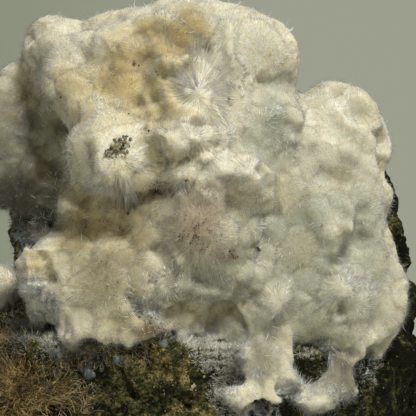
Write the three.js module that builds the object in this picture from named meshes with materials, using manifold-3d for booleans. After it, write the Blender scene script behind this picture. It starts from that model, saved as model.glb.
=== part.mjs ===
// Okenite puffballs grown together on a block of basalt, a hand specimen that rests on the block's flat underside.
// Millimetres, +Z up, -Y towards the side that carries the puffballs. The origin is on the resting face.
import * as THREE from "three";
import { mergeVertices } from "three/addons/utils/BufferGeometryUtils.js";
import Module from "manifold-3d";

const wasm = await Module();
wasm.setup();

// Clearance between two pieces that touch.
const SEAT_GAP = 0.3;

// Corners closer than this are one corner.
const WELD = 1e-4;

// The basalt: chunks bounded by fracture faces, each an outward direction and its distance from the chunk's centre.
const BASALT_HEART = [-2, 6, 18];
const BASALT_DETAIL = 9;
const BASALT_CHUNKS = {
  base: {
    at: [-3, 5, 10],
    faces: [
      [[0, -1, 0.14], 23],
      [[-0.5, -1, 0.2], 31],
      [[0.42, -0.9, 0.2], 23.7],
      [[0.75, -0.7, 0.08], 31],
      [[1, -0.1, -0.3], 33.6],
      [[0.8, 1, -0.05], 34],
      [[0.1, 1, 0.12], 23],
      [[-0.6, 1, 0.05], 33],
      [[-1, 0.1, 0.06], 36],
      [[-0.03, 0.04, 1], 18],
      [[0.16, 0.02, 1], 16.5],
      [[0, 0, -1], 16],
    ],
  },
  backSlab: {
    at: [3, 14, 33],
    faces: [
      [[0.1, -1, 0.16], 11.5],
      [[1, -0.2, 0.1], 29.5],
      [[1, 0.55, 0.28], 31],
      [[0.15, 1, 0.22], 7.5],
      [[-0.6, 1, 0.1], 22],
      [[-1, -0.05, -0.12], 34],
      [[-0.8, 0.1, 0.75], 33.5],
      [[0.05, 0.2, 1], 30],
      [[0.62, 0.1, 0.9], 34.5],
      [[0, 0, -1], 31],
    ],
  },
  leftShoulder: {
    at: [-30, 2, 18],
    faces: [
      [[-1, -0.1, 0.25], 9],
      [[0.1, -1, 0.4], 14.5],
      [[1, 0, 0], 22],
      [[0, 1, 0.2], 17],
      [[-0.3, -0.1, 1], 14],
      [[0, 0, -1], 16],
    ],
  },
};
const BASALT_ROUGHNESS = { height: 0.9, size: 5.2, seed: 3 };

// The side of the cube whose top is the surface that the block rests on.
const TABLE_SPAN = 200;

// The puffballs with a needle spray of their own, as [x, y, z, radius].
const BURSTS = {
  darkCentre: [-14.2, -11, 55.5, 8],
  upperSpray: [-2.8, -7.8, 64.7, 7.2],
  lowerSpray: [-1.2, -9.8, 58.4, 6.7],
  centre: [-0.5, -10.1, 43.9, 9.9],
  rightCup: [19.1, -4, 43.8, 6.4],
  rightSpray: [21.3, -5, 30.9, 6.7],
  crust: [8.6, -12.6, 21.9, 4.8],
};

// All the puffballs, as [x, y, z, radius]. Each mass is seen from a heart inside it, and the masses overlap.
const MASSES = {
  front: {
    heart: [-7, 0, 48],
    detail: 11,
    balls: [
      [-24.5, 0.5, 70.8, 5.4],
      [-19.7, -2.2, 69.2, 5.9],
      [-13.3, -3.3, 69.4, 7.7],
      [-4.5, -3, 71.2, 8],
      [2.7, -2.3, 70.6, 7.8],
      [8.6, -5, 70.2, 6],
      [7.2, -4, 64.2, 6.2],
      [6.3, -5.5, 57.5, 6],
      BURSTS.upperSpray,
      BURSTS.lowerSpray,
      [-12.1, -6, 63.9, 7.6],
      [-20, -4.6, 65, 6.4],
      BURSTS.darkCentre,
      [-5.9, -11.8, 50.3, 5.6],
      [4.7, -11.6, 51.6, 5],
      BURSTS.centre,
      [-8.9, -11.6, 43.9, 5.4],
      [-18.1, -9.6, 47.2, 4.8],
      [-20, -9.9, 41.6, 5],
      [-13.9, -12.2, 38.6, 6.4],
      [-12.3, -12.4, 32.7, 6.6],
      [-19.6, -12.3, 33.8, 6],
      [-26.5, -12.4, 36.8, 3.5],
      [-24.6, -12.4, 32.6, 3.6],
      [-25.2, -13.2, 28.4, 3],
      [-6.6, -12.9, 35.6, 5.6],
      [-0.5, -9.9, 32.8, 6.6],
      [6.3, -8, 31.2, 6.8],
      [-18, 7, 64.5, 7],
      [-8, 8, 66.5, 7.5],
      [2, 7, 65.5, 7],
    ],
  },
  leftFlank: {
    heart: [-25, 6, 54],
    detail: 5,
    balls: [
      [-24, 4, 66, 6.2],
      [-29.8, 5.4, 63, 5.6],
      [-33.2, 5.4, 56.2, 5.4],
      [-32, 5.4, 49.6, 5.4],
      [-25.8, 2.8, 54.6, 6],
      [-25.1, 2.6, 47.4, 5.8],
      [-26, 1.6, 42.6, 4.4],
      [-20, 4, 50, 7],
    ],
  },
  rightFlank: {
    heart: [17, 2, 44],
    detail: 8,
    balls: [
      [9.3, -2.5, 60.5, 5.6],
      [10.3, -3.6, 52.7, 5.8],
      [11.1, -5, 46.2, 6],
      [13.2, -5, 38.5, 7],
      [12.6, -6.4, 31.6, 6],
      [20.8, 1.4, 58.7, 7],
      [25.6, 0.8, 54.6, 4.2],
      [18.8, -1.2, 50.7, 6.9],
      [24.8, -1.7, 47, 4.8],
      BURSTS.rightCup,
      [25.4, -2.2, 39.9, 5.2],
      [19.9, -5, 36.6, 5.8],
      BURSTS.rightSpray,
      [27.5, -3, 33.1, 4.8],
      [27.9, -3.6, 28.5, 4],
    ],
  },
  lowerCrust: {
    heart: [13, -5.5, 25],
    detail: 5,
    balls: [
      [12.7, -5.5, 27.3, 5],
      [3.3, -10.4, 25.6, 6],
      BURSTS.crust,
      [4.4, -15.8, 16.9, 3.5],
      [8.2, -15, 15.5, 3.8],
      [11.9, -13, 17, 3.6],
      [16.4, -11.2, 16.6, 3.4],
      [20.9, -8.8, 18.4, 3.7],
      [21.8, -6.8, 24.2, 4.2],
      [25.4, -5.6, 23.1, 3.7],
    ],
  },
};

// How softly neighbouring puffballs run into each other, and how closely their common surface is followed.
const BLEND = 0.8;
const TRACE_STEP = 0.02;

// Surface roughness of the okenite: the height and the size of its lumps.
const LUMPS = { height: 0.6, size: 3.2, seed: 11 };

// The needle sprays of the bursts: slim cones that stand proud of the ball, so many for each square millimetre of
// radius squared, spread over the side that faces forwards and a little up.
const SPINE = { length: 6.5, radius: 0.9, sides: 3, proud: 2 };
const SPINE_DENSITY = 0.3;
const SPRAY_FACING = [0, -1, 0.35];
const SPRAY_COVER = 0.85;
const GOLDEN_ANGLE = Math.PI * (3 - Math.sqrt(5));

// The small fan of okenite on the left shoulder, and the pad of brown fibres on the front.
const TUFT = { at: [-33.2, -6.5, 33.8], size: [3.4, 2.6, 3], detail: 3 };
const FIBRE_MAT = { at: [-27.4, -15.4, 17.6], size: [8, 2.6, 4.6], detail: 4 };
const PAD_LUMPS = { height: 0.35, size: 2.2, seed: 23 };

// Colours and finishes.
const FINISHES = {
  basalt: { color: 0x34352a, roughness: 0.92 },
  okenite: { color: 0xd9d4bd, roughness: 0.75 },
  stainedFibre: { color: 0x6b5a34, roughness: 0.85 },
};

// A value in 0..1 that is fixed for a grid corner.
function cornerValue(x, y, z, seed) {
  const wave = Math.sin(x * 127.1 + y * 311.7 + z * 74.7 + seed * 53.3) * 43758.5453;
  return wave - Math.floor(wave);
}

// Smooth noise in -1..1 at a point, with hills about one unit across.
function noise(point, seed) {
  const cell = point.clone().floor();
  const [fx, fy, fz] = point.clone().sub(cell).toArray().map((t) => t * t * (3 - 2 * t));
  let sum = 0;
  for (let corner = 0; corner < 8; corner++) {
    const [i, j, k] = [corner & 1, (corner >> 1) & 1, corner >> 2];
    const share = (i ? fx : 1 - fx) * (j ? fy : 1 - fy) * (k ? fz : 1 - fz);
    sum += share * cornerValue(cell.x + i, cell.y + j, cell.z + k, seed);
  }
  return 2 * sum - 1;
}

// How much smaller and lower the fine lumps are than the coarse ones.
const FINE_OCTAVE = { finer: 2.3, share: 0.5 };

// Moves a point outwards along a direction by coarse and fine lumps.
function roughen(point, outward, { height, size, seed }) {
  const coarse = noise(point.clone().divideScalar(size), seed);
  const fine = noise(point.clone().multiplyScalar(FINE_OCTAVE.finer / size), seed + 1);
  return point.addScaledVector(outward, height * (coarse + FINE_OCTAVE.share * fine));
}

// Turns a closed geometry into a solid for joining and cutting.
function solidOf(geometry) {
  const bare = geometry.clone().deleteAttribute("normal").deleteAttribute("uv");
  const merged = mergeVertices(bare, WELD);
  const vertProperties = merged.attributes.position.array;
  const triVerts = new Uint32Array(merged.index.array);
  return new wasm.Manifold(new wasm.Mesh({ numProp: 3, vertProperties, triVerts }));
}

// A named mesh from a solid, in one of the finishes.
function meshOf(name, solid, finish) {
  const { numProp, vertProperties, triVerts } = solid.getMesh();
  const geometry = new THREE.BufferGeometry();
  const points = new THREE.BufferAttribute(new Float32Array(vertProperties), numProp);
  geometry.setAttribute("position", points);
  geometry.setIndex(new THREE.BufferAttribute(new Uint32Array(triVerts), 1));
  geometry.computeVertexNormals();
  const mesh = new THREE.Mesh(geometry, new THREE.MeshStandardMaterial(finish));
  mesh.name = name;
  return mesh;
}

// A closed body around a heart: place(direction) gives the surface point in each direction.
function bodyAround(detail, place) {
  const geometry = new THREE.IcosahedronGeometry(1, detail);
  const position = geometry.attributes.position;
  const direction = new THREE.Vector3();
  for (let i = 0; i < position.count; i++) {
    direction.fromBufferAttribute(position, i).normalize();
    position.setXYZ(i, ...place(direction.clone()).toArray());
  }
  return geometry;
}

// How far a ray runs from origin along direction before it leaves a chunk, or 0 where it misses.
function exitFromChunk({ at, faces }, origin, direction) {
  const start = origin.clone().sub(new THREE.Vector3(...at));
  let enter = -Infinity;
  let exit = Infinity;
  for (const [outward, distance] of faces) {
    const normal = new THREE.Vector3(...outward).normalize();
    const speed = normal.dot(direction);
    const crossing = (distance - normal.dot(start)) / speed;
    if (speed > 0) exit = Math.min(exit, crossing);
    if (speed < 0) enter = Math.max(enter, crossing);
  }
  return enter < exit ? Math.max(0, exit) : 0;
}

// The basalt block, its surface moved outwards by grow, cut off flat underneath.
function basaltBlock(grow = 0) {
  const origin = new THREE.Vector3(...BASALT_HEART);
  const chunks = Object.values(BASALT_CHUNKS);
  const rough = bodyAround(BASALT_DETAIL, (direction) => {
    const reach = Math.max(...chunks.map((chunk) => exitFromChunk(chunk, origin, direction)));
    const point = direction.clone().multiplyScalar(reach).add(origin);
    return roughen(point, direction, BASALT_ROUGHNESS).addScaledVector(direction, grow);
  });
  const table = new THREE.BoxGeometry(TABLE_SPAN, TABLE_SPAN, TABLE_SPAN);
  table.translate(0, 0, -TABLE_SPAN / 2);
  return solidOf(rough).subtract(solidOf(table));
}

// Distance from a point to the blended surface of the balls, negative inside.
function distanceToBalls(point, balls) {
  const closeness = balls.reduce((sum, [x, y, z, radius]) => {
    const gap = Math.hypot(point.x - x, point.y - y, point.z - z) - radius;
    return sum + Math.exp(-gap / BLEND);
  }, 0);
  return -BLEND * Math.log(closeness);
}

// A mass of fused puffballs: in each direction from the heart, the outermost point of their blended surface.
function puffballMass({ heart, detail, balls }) {
  const origin = new THREE.Vector3(...heart);
  const spans = balls.map(([x, y, z, radius]) => origin.distanceTo(new THREE.Vector3(x, y, z)) + radius);
  const start = Math.max(...spans) + 2 * BLEND;
  return bodyAround(detail, (direction) => {
    const pointAt = (reach) => direction.clone().multiplyScalar(reach).add(origin);
    let reach = start;
    let gap = distanceToBalls(pointAt(reach), balls);
    while (gap > TRACE_STEP && reach > TRACE_STEP) {
      reach -= Math.max(gap, TRACE_STEP);
      gap = distanceToBalls(pointAt(reach), balls);
    }
    return roughen(pointAt(reach), direction, LUMPS);
  });
}

// One burst's needle spray: slim cones that point away from the ball's centre.
function needleSpray([x, y, z, radius]) {
  const centre = new THREE.Vector3(x, y, z);
  const facing = new THREE.Vector3(...SPRAY_FACING).normalize();
  const turned = new THREE.Quaternion().setFromUnitVectors(new THREE.Vector3(0, 0, 1), facing);
  const count = Math.round(SPINE_DENSITY * radius * radius);
  return Array.from({ length: count }, (_, i) => {
    const height = 1 - SPRAY_COVER * (i + 0.5) / count;
    const ring = Math.sqrt(1 - height * height);
    const angle = i * GOLDEN_ANGLE;
    const direction = new THREE.Vector3(ring * Math.cos(angle), ring * Math.sin(angle), height);
    direction.applyQuaternion(turned);
    const cone = new THREE.ConeGeometry(SPINE.radius, SPINE.length, SPINE.sides);
    cone.applyQuaternion(new THREE.Quaternion().setFromUnitVectors(new THREE.Vector3(0, 1, 0), direction));
    const middle = radius + SPINE.proud - SPINE.length / 2;
    cone.translate(...direction.multiplyScalar(middle).add(centre).toArray());
    return solidOf(cone);
  });
}

// A small lumpy pad with the given half sizes.
function pad({ at, size, detail }) {
  const centre = new THREE.Vector3(...at);
  const scale = new THREE.Vector3(...size);
  const lumpy = bodyAround(detail, (direction) => {
    const point = direction.clone().multiply(scale).add(centre);
    return roughen(point, direction, PAD_LUMPS);
  });
  return solidOf(lumpy);
}

const basalt = basaltBlock();
const seat = basaltBlock(SEAT_GAP);
const masses = Object.values(MASSES).map((mass) => solidOf(puffballMass(mass)));
const sprays = Object.values(BURSTS).flatMap(needleSpray);
const cluster = wasm.Manifold.union([...masses, ...sprays]).subtract(seat);
const tuft = pad(TUFT).subtract(seat);
const fibreMat = pad(FIBRE_MAT).subtract(seat);

const specimen = new THREE.Group();
specimen.add(meshOf("basalt_matrix", basalt, FINISHES.basalt));
specimen.add(meshOf("okenite_cluster", cluster, FINISHES.okenite));
specimen.add(meshOf("okenite_tuft_left", tuft, FINISHES.okenite));
specimen.add(meshOf("brown_fibre_mat", fibreMat, FINISHES.stainedFibre));

export default specimen;
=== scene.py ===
"""Okenite puffballs grown together on a block of basalt.

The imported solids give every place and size. This script builds the surfaces that show on them: the felted
okenite with its needle sprays, the rough basalt with its druse, the mat of brown fibres and the loose grains.
"""

import logging
import math
from dataclasses import dataclass
from enum import Enum

import bmesh
import bpy
import numpy as np
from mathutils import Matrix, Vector
from mathutils.bvhtree import BVHTree

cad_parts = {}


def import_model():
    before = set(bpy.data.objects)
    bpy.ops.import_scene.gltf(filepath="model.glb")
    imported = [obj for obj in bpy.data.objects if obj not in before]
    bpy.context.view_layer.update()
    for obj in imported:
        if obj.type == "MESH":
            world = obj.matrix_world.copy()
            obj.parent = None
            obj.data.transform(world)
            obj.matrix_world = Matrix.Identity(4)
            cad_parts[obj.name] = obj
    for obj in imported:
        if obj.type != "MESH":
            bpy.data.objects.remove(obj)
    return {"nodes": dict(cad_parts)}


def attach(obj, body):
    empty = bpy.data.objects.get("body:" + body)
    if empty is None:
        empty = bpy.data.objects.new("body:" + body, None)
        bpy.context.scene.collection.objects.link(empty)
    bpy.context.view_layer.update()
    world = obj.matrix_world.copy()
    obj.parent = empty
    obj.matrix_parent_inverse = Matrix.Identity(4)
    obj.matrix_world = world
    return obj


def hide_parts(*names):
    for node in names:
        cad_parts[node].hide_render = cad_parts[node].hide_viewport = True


LOG = logging.getLogger("okenite")
MM = 0.001
BODY = "root"

Array = np.ndarray
Dice = np.random.Generator
Mesh = bpy.types.Mesh
Object = bpy.types.Object
Material = bpy.types.Material
Socket = bpy.types.NodeSocket
Colour = tuple[float, float, float]
Spot = tuple[float, float]


class Node(Enum):
    """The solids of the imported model."""

    BASALT = "basalt_matrix"
    CLUSTER = "okenite_cluster"
    TUFT = "okenite_tuft_left"
    MAT = "brown_fibre_mat"


class Slot(Enum):
    """The material slots that the record names."""

    BASALT = "basalt"
    OKENITE = "okenite"
    STAINED = "stained_fibre"


# Where the specimen is seen from


def direction(azimuth: float, elevation: float) -> Vector:
    """The direction at angles in degrees, from the front towards the right and up."""
    turn, rise = math.radians(azimuth), math.radians(elevation)
    return Vector((math.sin(turn) * math.cos(rise), -math.cos(turn) * math.cos(rise), math.sin(rise)))


def linked(data: bpy.types.ID) -> Object:
    """Makes an object and links it to the scene.

    Args:
        data: The mesh, camera or light that it shows.

    Returns:
        The object.
    """
    thing = bpy.data.objects.new(data.name, data)
    bpy.context.scene.collection.objects.link(thing)
    return thing


@dataclass(frozen=True)
class Viewpoint:
    """The camera, which looks at the side that carries the puffballs from slightly above.

    Spots on the specimen are given in millimetres to the right of and above the middle of what it frames.
    """

    target: tuple[float, float, float] = (0.0, 0.0, 45.28 * MM)
    distance: float = 330 * MM
    elevation: float = 6.0
    frame_width: float = 66.56 * MM
    sensor: float = 36.0

    def place(self) -> Vector:
        """The camera's place."""
        return Vector(self.target) + direction(0, self.elevation) * self.distance

    def toward(self, spot: Spot) -> Vector:
        """The direction from the camera through a spot.

        Args:
            spot: The spot.

        Returns:
            A direction of length one.
        """
        rise = math.radians(self.elevation)
        upward = Vector((0, math.sin(rise), math.cos(rise)))
        aim = Vector(self.target) + Vector((1, 0, 0)) * spot[0] * MM + upward * spot[1] * MM
        return (aim - self.place()).normalized()

    def aim(self, thing: Object, away: Vector, distance: float) -> None:
        """Places a camera or light in a direction from the target, and turns it to face the target."""
        thing.location = Vector(self.target) + away * distance
        thing.rotation_euler = (-away).to_track_quat("-Z", "Y").to_euler()

    def build(self) -> None:
        """Makes the camera and sets it as the scene's."""
        data = bpy.data.cameras.new("camera")
        data.sensor_width = self.sensor
        data.lens = self.sensor * self.distance / self.frame_width
        data.clip_start = 0.01
        data.clip_end = 10
        camera = linked(data)
        self.aim(camera, direction(0, self.elevation), self.distance)
        bpy.context.scene.camera = camera


VIEW = Viewpoint()


# Arrays, noise and meshes


def lattice(cells: Array, seed: int) -> Array:
    """Fixed random values in 0..1 for grid corners.

    Args:
        cells: The corners, as an (n, 3) array of whole numbers.
        seed: Which set of values.

    Returns:
        One value for each corner.
    """
    mixed = cells[:, 0] * 73856093 ^ cells[:, 1] * 19349663 ^ cells[:, 2] * 83492791 ^ (seed * 2654435761)
    mixed = (mixed ^ (mixed >> 13)) * 1274126177
    mixed = mixed ^ (mixed >> 16)
    return (mixed & 0xFFFFFF) / float(0xFFFFFF)


def cells_at(places: Array, size: float, seed: int) -> tuple[Array, Array]:
    """The grid cell that each place lies in, and a fixed random point of each cell, in shares of its size."""
    cells = np.floor(places / size).astype(np.int64)
    return cells, np.stack([lattice(cells, seed + axis) for axis in range(3)], axis=1)


def smooth_noise(points: Array, size: float, seed: int) -> Array:
    """Smooth noise in -1..1.

    Args:
        points: Places, as an (n, 3) array.
        size: How far apart its hills are.
        seed: Which noise.

    Returns:
        One value for each place.
    """
    scaled = points / size + seed * 17.31
    cell = np.floor(scaled).astype(np.int64)
    part = scaled - cell
    part = part * part * (3 - 2 * part)
    total = np.zeros(len(points))
    for corner in range(8):
        step = np.array([corner & 1, (corner >> 1) & 1, corner >> 2])
        total += np.where(step, part, 1 - part).prod(axis=1) * lattice(cell + step, seed)
    return 2 * total - 1


def layered_noise(points: Array, size: float, seed: int, layers: int = 4, keep: float = 0.5) -> Array:
    """Layers of smooth noise, each half the size of the one before.

    Args:
        points: Places, as an (n, 3) array.
        size: The size of the coarsest layer.
        seed: Which noise.
        layers: How many layers.
        keep: How strong each layer is beside the one before.

    Returns:
        One value for each place, about -1..1.
    """
    total = np.zeros(len(points))
    weight = 1.0
    for layer in range(layers):
        total += weight * smooth_noise(points, size / 2**layer, seed + layer)
        weight *= keep
    return total * (1 - keep) / (1 - keep**layers)


def unit(vectors: Array) -> Array:
    """Vectors scaled to length one."""
    return vectors / np.maximum(np.linalg.norm(vectors, axis=-1, keepdims=True), 1e-12)


def ramp(values: Array, low: float, high: float) -> Array:
    """A smooth step from 0 at low to 1 at high."""
    part = np.clip((values - low) / (high - low), 0, 1)
    return part * part * (3 - 2 * part)


def axes_across(along: Array) -> tuple[Array, Array]:
    """Two directions square to each of the given ones, and to each other.

    Args:
        along: The given directions, of length one.

    Returns:
        The first and the second directions.
    """
    helper = np.where(np.abs(along[..., 2:3]) < 0.9, (0.0, 0.0, 1.0), (1.0, 0.0, 0.0))
    side = unit(np.cross(along, helper))
    return side, np.cross(along, side)


def read(items: bpy.types.bpy_prop_collection, key: str, kind: type = np.float32) -> Array:
    """Reads three numbers for each item of a mesh's collection.

    Args:
        items: The collection.
        key: Which property.
        kind: The type of its numbers.

    Returns:
        An (n, 3) array.
    """
    values = np.empty(len(items) * 3, dtype=kind)
    items.foreach_get(key, values)
    return values.reshape(-1, 3)


def corners_of(mesh: Mesh) -> Array:
    """Where each corner of a mesh is."""
    return read(mesh.vertices, "co").astype(float)


def normals_of(mesh: Mesh) -> Array:
    """The outward direction at each corner of a mesh."""
    return read(mesh.vertex_normals, "vector").astype(float)


def set_corners(mesh: Mesh, points: Array) -> None:
    """Moves a mesh's corners to new places."""
    mesh.vertices.foreach_set("co", points.astype(np.float32).ravel())
    mesh.update()


def raise_by(mesh: Mesh, relief: Array) -> None:
    """Moves each of a mesh's corners outward by a distance, or inward where that is below zero."""
    set_corners(mesh, corners_of(mesh) + normals_of(mesh) * relief[:, None])


def set_tint(mesh: Mesh, colours: Array, name: str = "tint") -> None:
    """Stores a colour at each corner of a mesh.

    Args:
        mesh: The mesh.
        colours: An (n, 3) array, or (n, 4) with how much each corner covers what is behind it.
        name: The attribute's name.
    """
    attribute = mesh.color_attributes.new(name=name, type="FLOAT_COLOR", domain="POINT")
    full = np.ones((len(colours), 4), dtype=np.float32)
    full[:, : colours.shape[1]] = colours
    attribute.data.foreach_set("color", full.ravel())


def shell_of(node: Object, name: str) -> Mesh:
    """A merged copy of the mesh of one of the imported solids.

    Args:
        node: The solid.
        name: The copy's name.

    Returns:
        The copy.
    """
    shell = bmesh.new()
    shell.from_mesh(node.data)
    bmesh.ops.remove_doubles(shell, verts=shell.verts, dist=1e-6)
    bmesh.ops.triangulate(shell, faces=shell.faces)
    mesh = bpy.data.meshes.new(name)
    shell.to_mesh(mesh)
    shell.free()
    return mesh


def even_mesh(mesh: Mesh, voxel: float, smoothing: int) -> Mesh:
    """Meshes a closed shell anew, finely and evenly.

    Args:
        mesh: The shell, which is used up.
        voxel: How fine the new mesh is, or zero to keep the mesh that there is.
        smoothing: How many times its corners are evened out.

    Returns:
        The new mesh.
    """
    name = mesh.name
    helper = linked(mesh)
    if voxel:
        remesh = helper.modifiers.new("even mesh", "REMESH")
        remesh.mode = "VOXEL"
        remesh.voxel_size = voxel
    smooth = helper.modifiers.new("even out", "SMOOTH")
    smooth.factor = 0.5
    smooth.iterations = smoothing
    result = bpy.data.meshes.new_from_object(helper.evaluated_get(bpy.context.evaluated_depsgraph_get()))
    bpy.data.objects.remove(helper)
    bpy.data.meshes.remove(mesh)
    result.name = name
    result.polygons.foreach_set("use_smooth", np.ones(len(result.polygons), dtype=bool))
    return result


def hollowness(mesh: Mesh, smoothing: int) -> Array:
    """How deep each corner lies in a hollow, beside the mesh smoothed that often. Ridges are below zero."""
    smooth = even_mesh(mesh.copy(), 0, smoothing)
    return ((corners_of(smooth) - corners_of(mesh)) * normals_of(mesh)).sum(axis=1)


def finished(mesh: Mesh, material: Material, slot: Slot, *stands_for: Node) -> None:
    """Makes a mesh a piece of the specimen that rides on it.

    Args:
        mesh: The mesh.
        material: What it is dressed in.
        slot: The record's slot for that material; it is not used.
        stands_for: The solids that it replaces.
    """
    piece = linked(mesh)
    mesh.materials.clear()
    mesh.materials.append(material)
    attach(piece, BODY)
    if stands_for:
        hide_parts(*[node.value for node in stands_for])
    LOG.info("%s: %d triangles", piece.name, sum(len(face.vertices) - 2 for face in mesh.polygons))


class Surface:
    """A mesh as a surface that things can be strewn over or sighted on."""

    def __init__(self, mesh: Mesh) -> None:
        """Reads the mesh's corners, triangles and outward directions.

        Args:
            mesh: The mesh.
        """
        mesh.calc_loop_triangles()
        self.points = corners_of(mesh)
        self.triangles = read(mesh.loop_triangles, "vertices", np.int32)
        self.normals = normals_of(mesh)
        self.tree = BVHTree.FromPolygons(self.points.tolist(), self.triangles.tolist())
        a, b, c = (self.points[self.triangles[:, i]] for i in range(3))
        cross = np.cross(b - a, c - a)
        self.areas = np.linalg.norm(cross, axis=1) / 2
        self.centres = (a + b + c) / 3
        self.facing = unit(cross)

    def sighted(self, spot: Spot) -> Vector | None:
        """The point of the surface that the camera sees at a spot, or None where it sees past it."""
        return self.tree.ray_cast(VIEW.place(), VIEW.toward(spot))[0]

    def outward_at(self, place: Vector) -> Vector:
        """Which way the surface faces at the point nearest to a place."""
        return self.tree.find_nearest(place)[1]

    def strewn(self, count: int, weights: Array, dice: Dice) -> tuple[Array, Array]:
        """Random places on the surface.

        Args:
            count: How many.
            weights: How likely each triangle is, for each unit of its area.
            dice: The source of randomness.

        Returns:
            The places and the outward directions there.
        """
        chance = self.areas * weights
        chosen = dice.choice(len(chance), size=count, p=chance / chance.sum())
        u, v = dice.random(count), dice.random(count)
        flip = u + v > 1
        u[flip], v[flip] = 1 - u[flip], 1 - v[flip]
        shares = np.stack([1 - u - v, u, v], axis=1)[:, :, None]
        corners = self.triangles[chosen]
        return (self.points[corners] * shares).sum(axis=1), unit((self.normals[corners] * shares).sum(axis=1))

    def open_to_air(self, rock: "Surface", reach: float = 1.6 * MM) -> Array:
        """How far each triangle is open to the air, 0 where it lies against the rock, within a reach."""
        away = rock.distance_from(self.centres + self.facing * reach * 0.6, reach)
        return ramp(away, 0.2 * reach, 0.6 * reach)

    def distance_from(self, places: Array, limit: float) -> Array:
        """How far each place is from the surface, or limit where it is farther."""
        found = (self.tree.find_nearest(place, limit)[3] for place in places.tolist())
        return np.array([limit if distance is None else distance for distance in found])


@dataclass(frozen=True)
class Shape:
    """A small closed shape that is repeated many times, as corners and triangles."""

    corners: Array
    faces: Array

    @classmethod
    def cut_from(cls, solid: bmesh.types.BMesh) -> "Shape":
        """Reads a shape from a bmesh, and frees that.

        Args:
            solid: The bmesh.

        Returns:
            The shape.
        """
        bmesh.ops.remove_doubles(solid, verts=solid.verts, dist=1e-5)
        bmesh.ops.triangulate(solid, faces=solid.faces)
        bmesh.ops.recalc_face_normals(solid, faces=solid.faces)
        solid.verts.ensure_lookup_table()
        corners = np.array([tuple(corner.co) for corner in solid.verts])
        faces = np.array([[corner.index for corner in face.verts] for face in solid.faces])
        solid.free()
        return cls(corners, faces)

    @classmethod
    def rod(cls, tip: float, rings: int = 1) -> "Shape":
        """A slim three-sided rod of length and radius one, from the origin along Z.

        Args:
            tip: Its radius at the far end, or zero for a point.
            rings: How many lengths it can bend at.

        Returns:
            The rod.
        """
        rod = bmesh.new()
        bmesh.ops.create_cone(rod, cap_ends=True, segments=3, radius1=1, radius2=tip, depth=1)
        bmesh.ops.translate(rod, verts=rod.verts, vec=(0, 0, 0.5))
        for ring in range(1, rings):
            geometry = rod.verts[:] + rod.edges[:] + rod.faces[:]
            bmesh.ops.bisect_plane(rod, geom=geometry, plane_co=(0, 0, ring / rings), plane_no=(0, 0, 1))
        return cls.cut_from(rod)

    @classmethod
    def pebble(cls) -> "Shape":
        """A ball of radius one.

        Returns:
            The ball.
        """
        ball = bmesh.new()
        bmesh.ops.create_icosphere(ball, subdivisions=1, radius=1)
        return cls.cut_from(ball)

    def joined(self, name: str, points: Array, tints: Array) -> Mesh:
        """Joins many copies of the shape in one smooth-shaded mesh.

        Args:
            name: The mesh's name.
            points: The corners of every copy, as an (n, corners, 3) array.
            tints: The colours of those corners.

        Returns:
            The mesh.
        """
        count, corners = points.shape[:2]
        triangles = (self.faces[None] + np.arange(count)[:, None, None] * corners).astype(np.int32).ravel()
        mesh = bpy.data.meshes.new(name)
        mesh.vertices.add(count * corners)
        mesh.vertices.foreach_set("co", points.astype(np.float32).ravel())
        mesh.loops.add(len(triangles))
        mesh.loops.foreach_set("vertex_index", triangles)
        mesh.polygons.add(len(triangles) // 3)
        mesh.polygons.foreach_set("loop_start", np.arange(0, len(triangles), 3, dtype=np.int32))
        mesh.polygons.foreach_set("use_smooth", np.ones(len(triangles) // 3, dtype=bool))
        mesh.update(calc_edges=True)
        set_tint(mesh, tints.reshape(-1, tints.shape[-1]))
        return mesh


NEEDLE = Shape.rod(0)


def needle_mesh(name: str, bases: Array, tips: Array, radii: Array, base_tint: Array, tip_tint: Array,
                outward: Array | None = None) -> Mesh:
    """Joins many slim, closed, three-sided needles in one mesh.

    Args:
        name: The mesh's name.
        bases: Where each needle starts.
        tips: Where it ends.
        radii: How thick it is at its base.
        base_tint: Its colour at the base.
        tip_tint: Its colour at the tip.
        outward: Which way the surface that it grows from faces, if its sheen is to follow that.

    Returns:
        The mesh.
    """
    reach = tips - bases
    side, other = axes_across(unit(reach))
    x, y, z = (NEEDLE.corners[:, axis][None, :, None] for axis in range(3))
    around = side[:, None] * x + other[:, None] * y
    points = bases[:, None] + around * radii[:, None, None] + reach[:, None] * z
    mesh = NEEDLE.joined(name, points, base_tint[:, None] + (tip_tint - base_tint)[:, None] * z)
    if outward is not None:
        set_tint(mesh, unit((around + 1.2 * outward[:, None]).reshape(-1, 3)), "sheen")
    return mesh


# Sculpting


@dataclass(frozen=True)
class Stroke:
    """A stroke along the surface that raises it, or hollows it where the lift is below zero."""

    start: Spot
    end: Spot
    reach: float
    lift: float
    stride: float = 0.5

    def path(self, surface: Surface) -> Array:
        """The points of the surface that the stroke passes over.

        Args:
            surface: The surface, as the camera sees it.

        Returns:
            An (n, 3) array, in metres.
        """
        start, end = np.array(self.start), np.array(self.end)
        steps = 1 + int(np.linalg.norm(end - start) / self.stride)
        shares = np.linspace(0, 1, steps + 1)
        found = [surface.sighted(tuple(start + (end - start) * share)) for share in shares]
        return np.array([tuple(point) for point in found if point is not None])


# The sculpted surfaces bend back softly past the front, and never reach farther than its room.
FRONT = -22.2 * MM
FRONT_ROOM = 0.8 * MM


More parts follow.
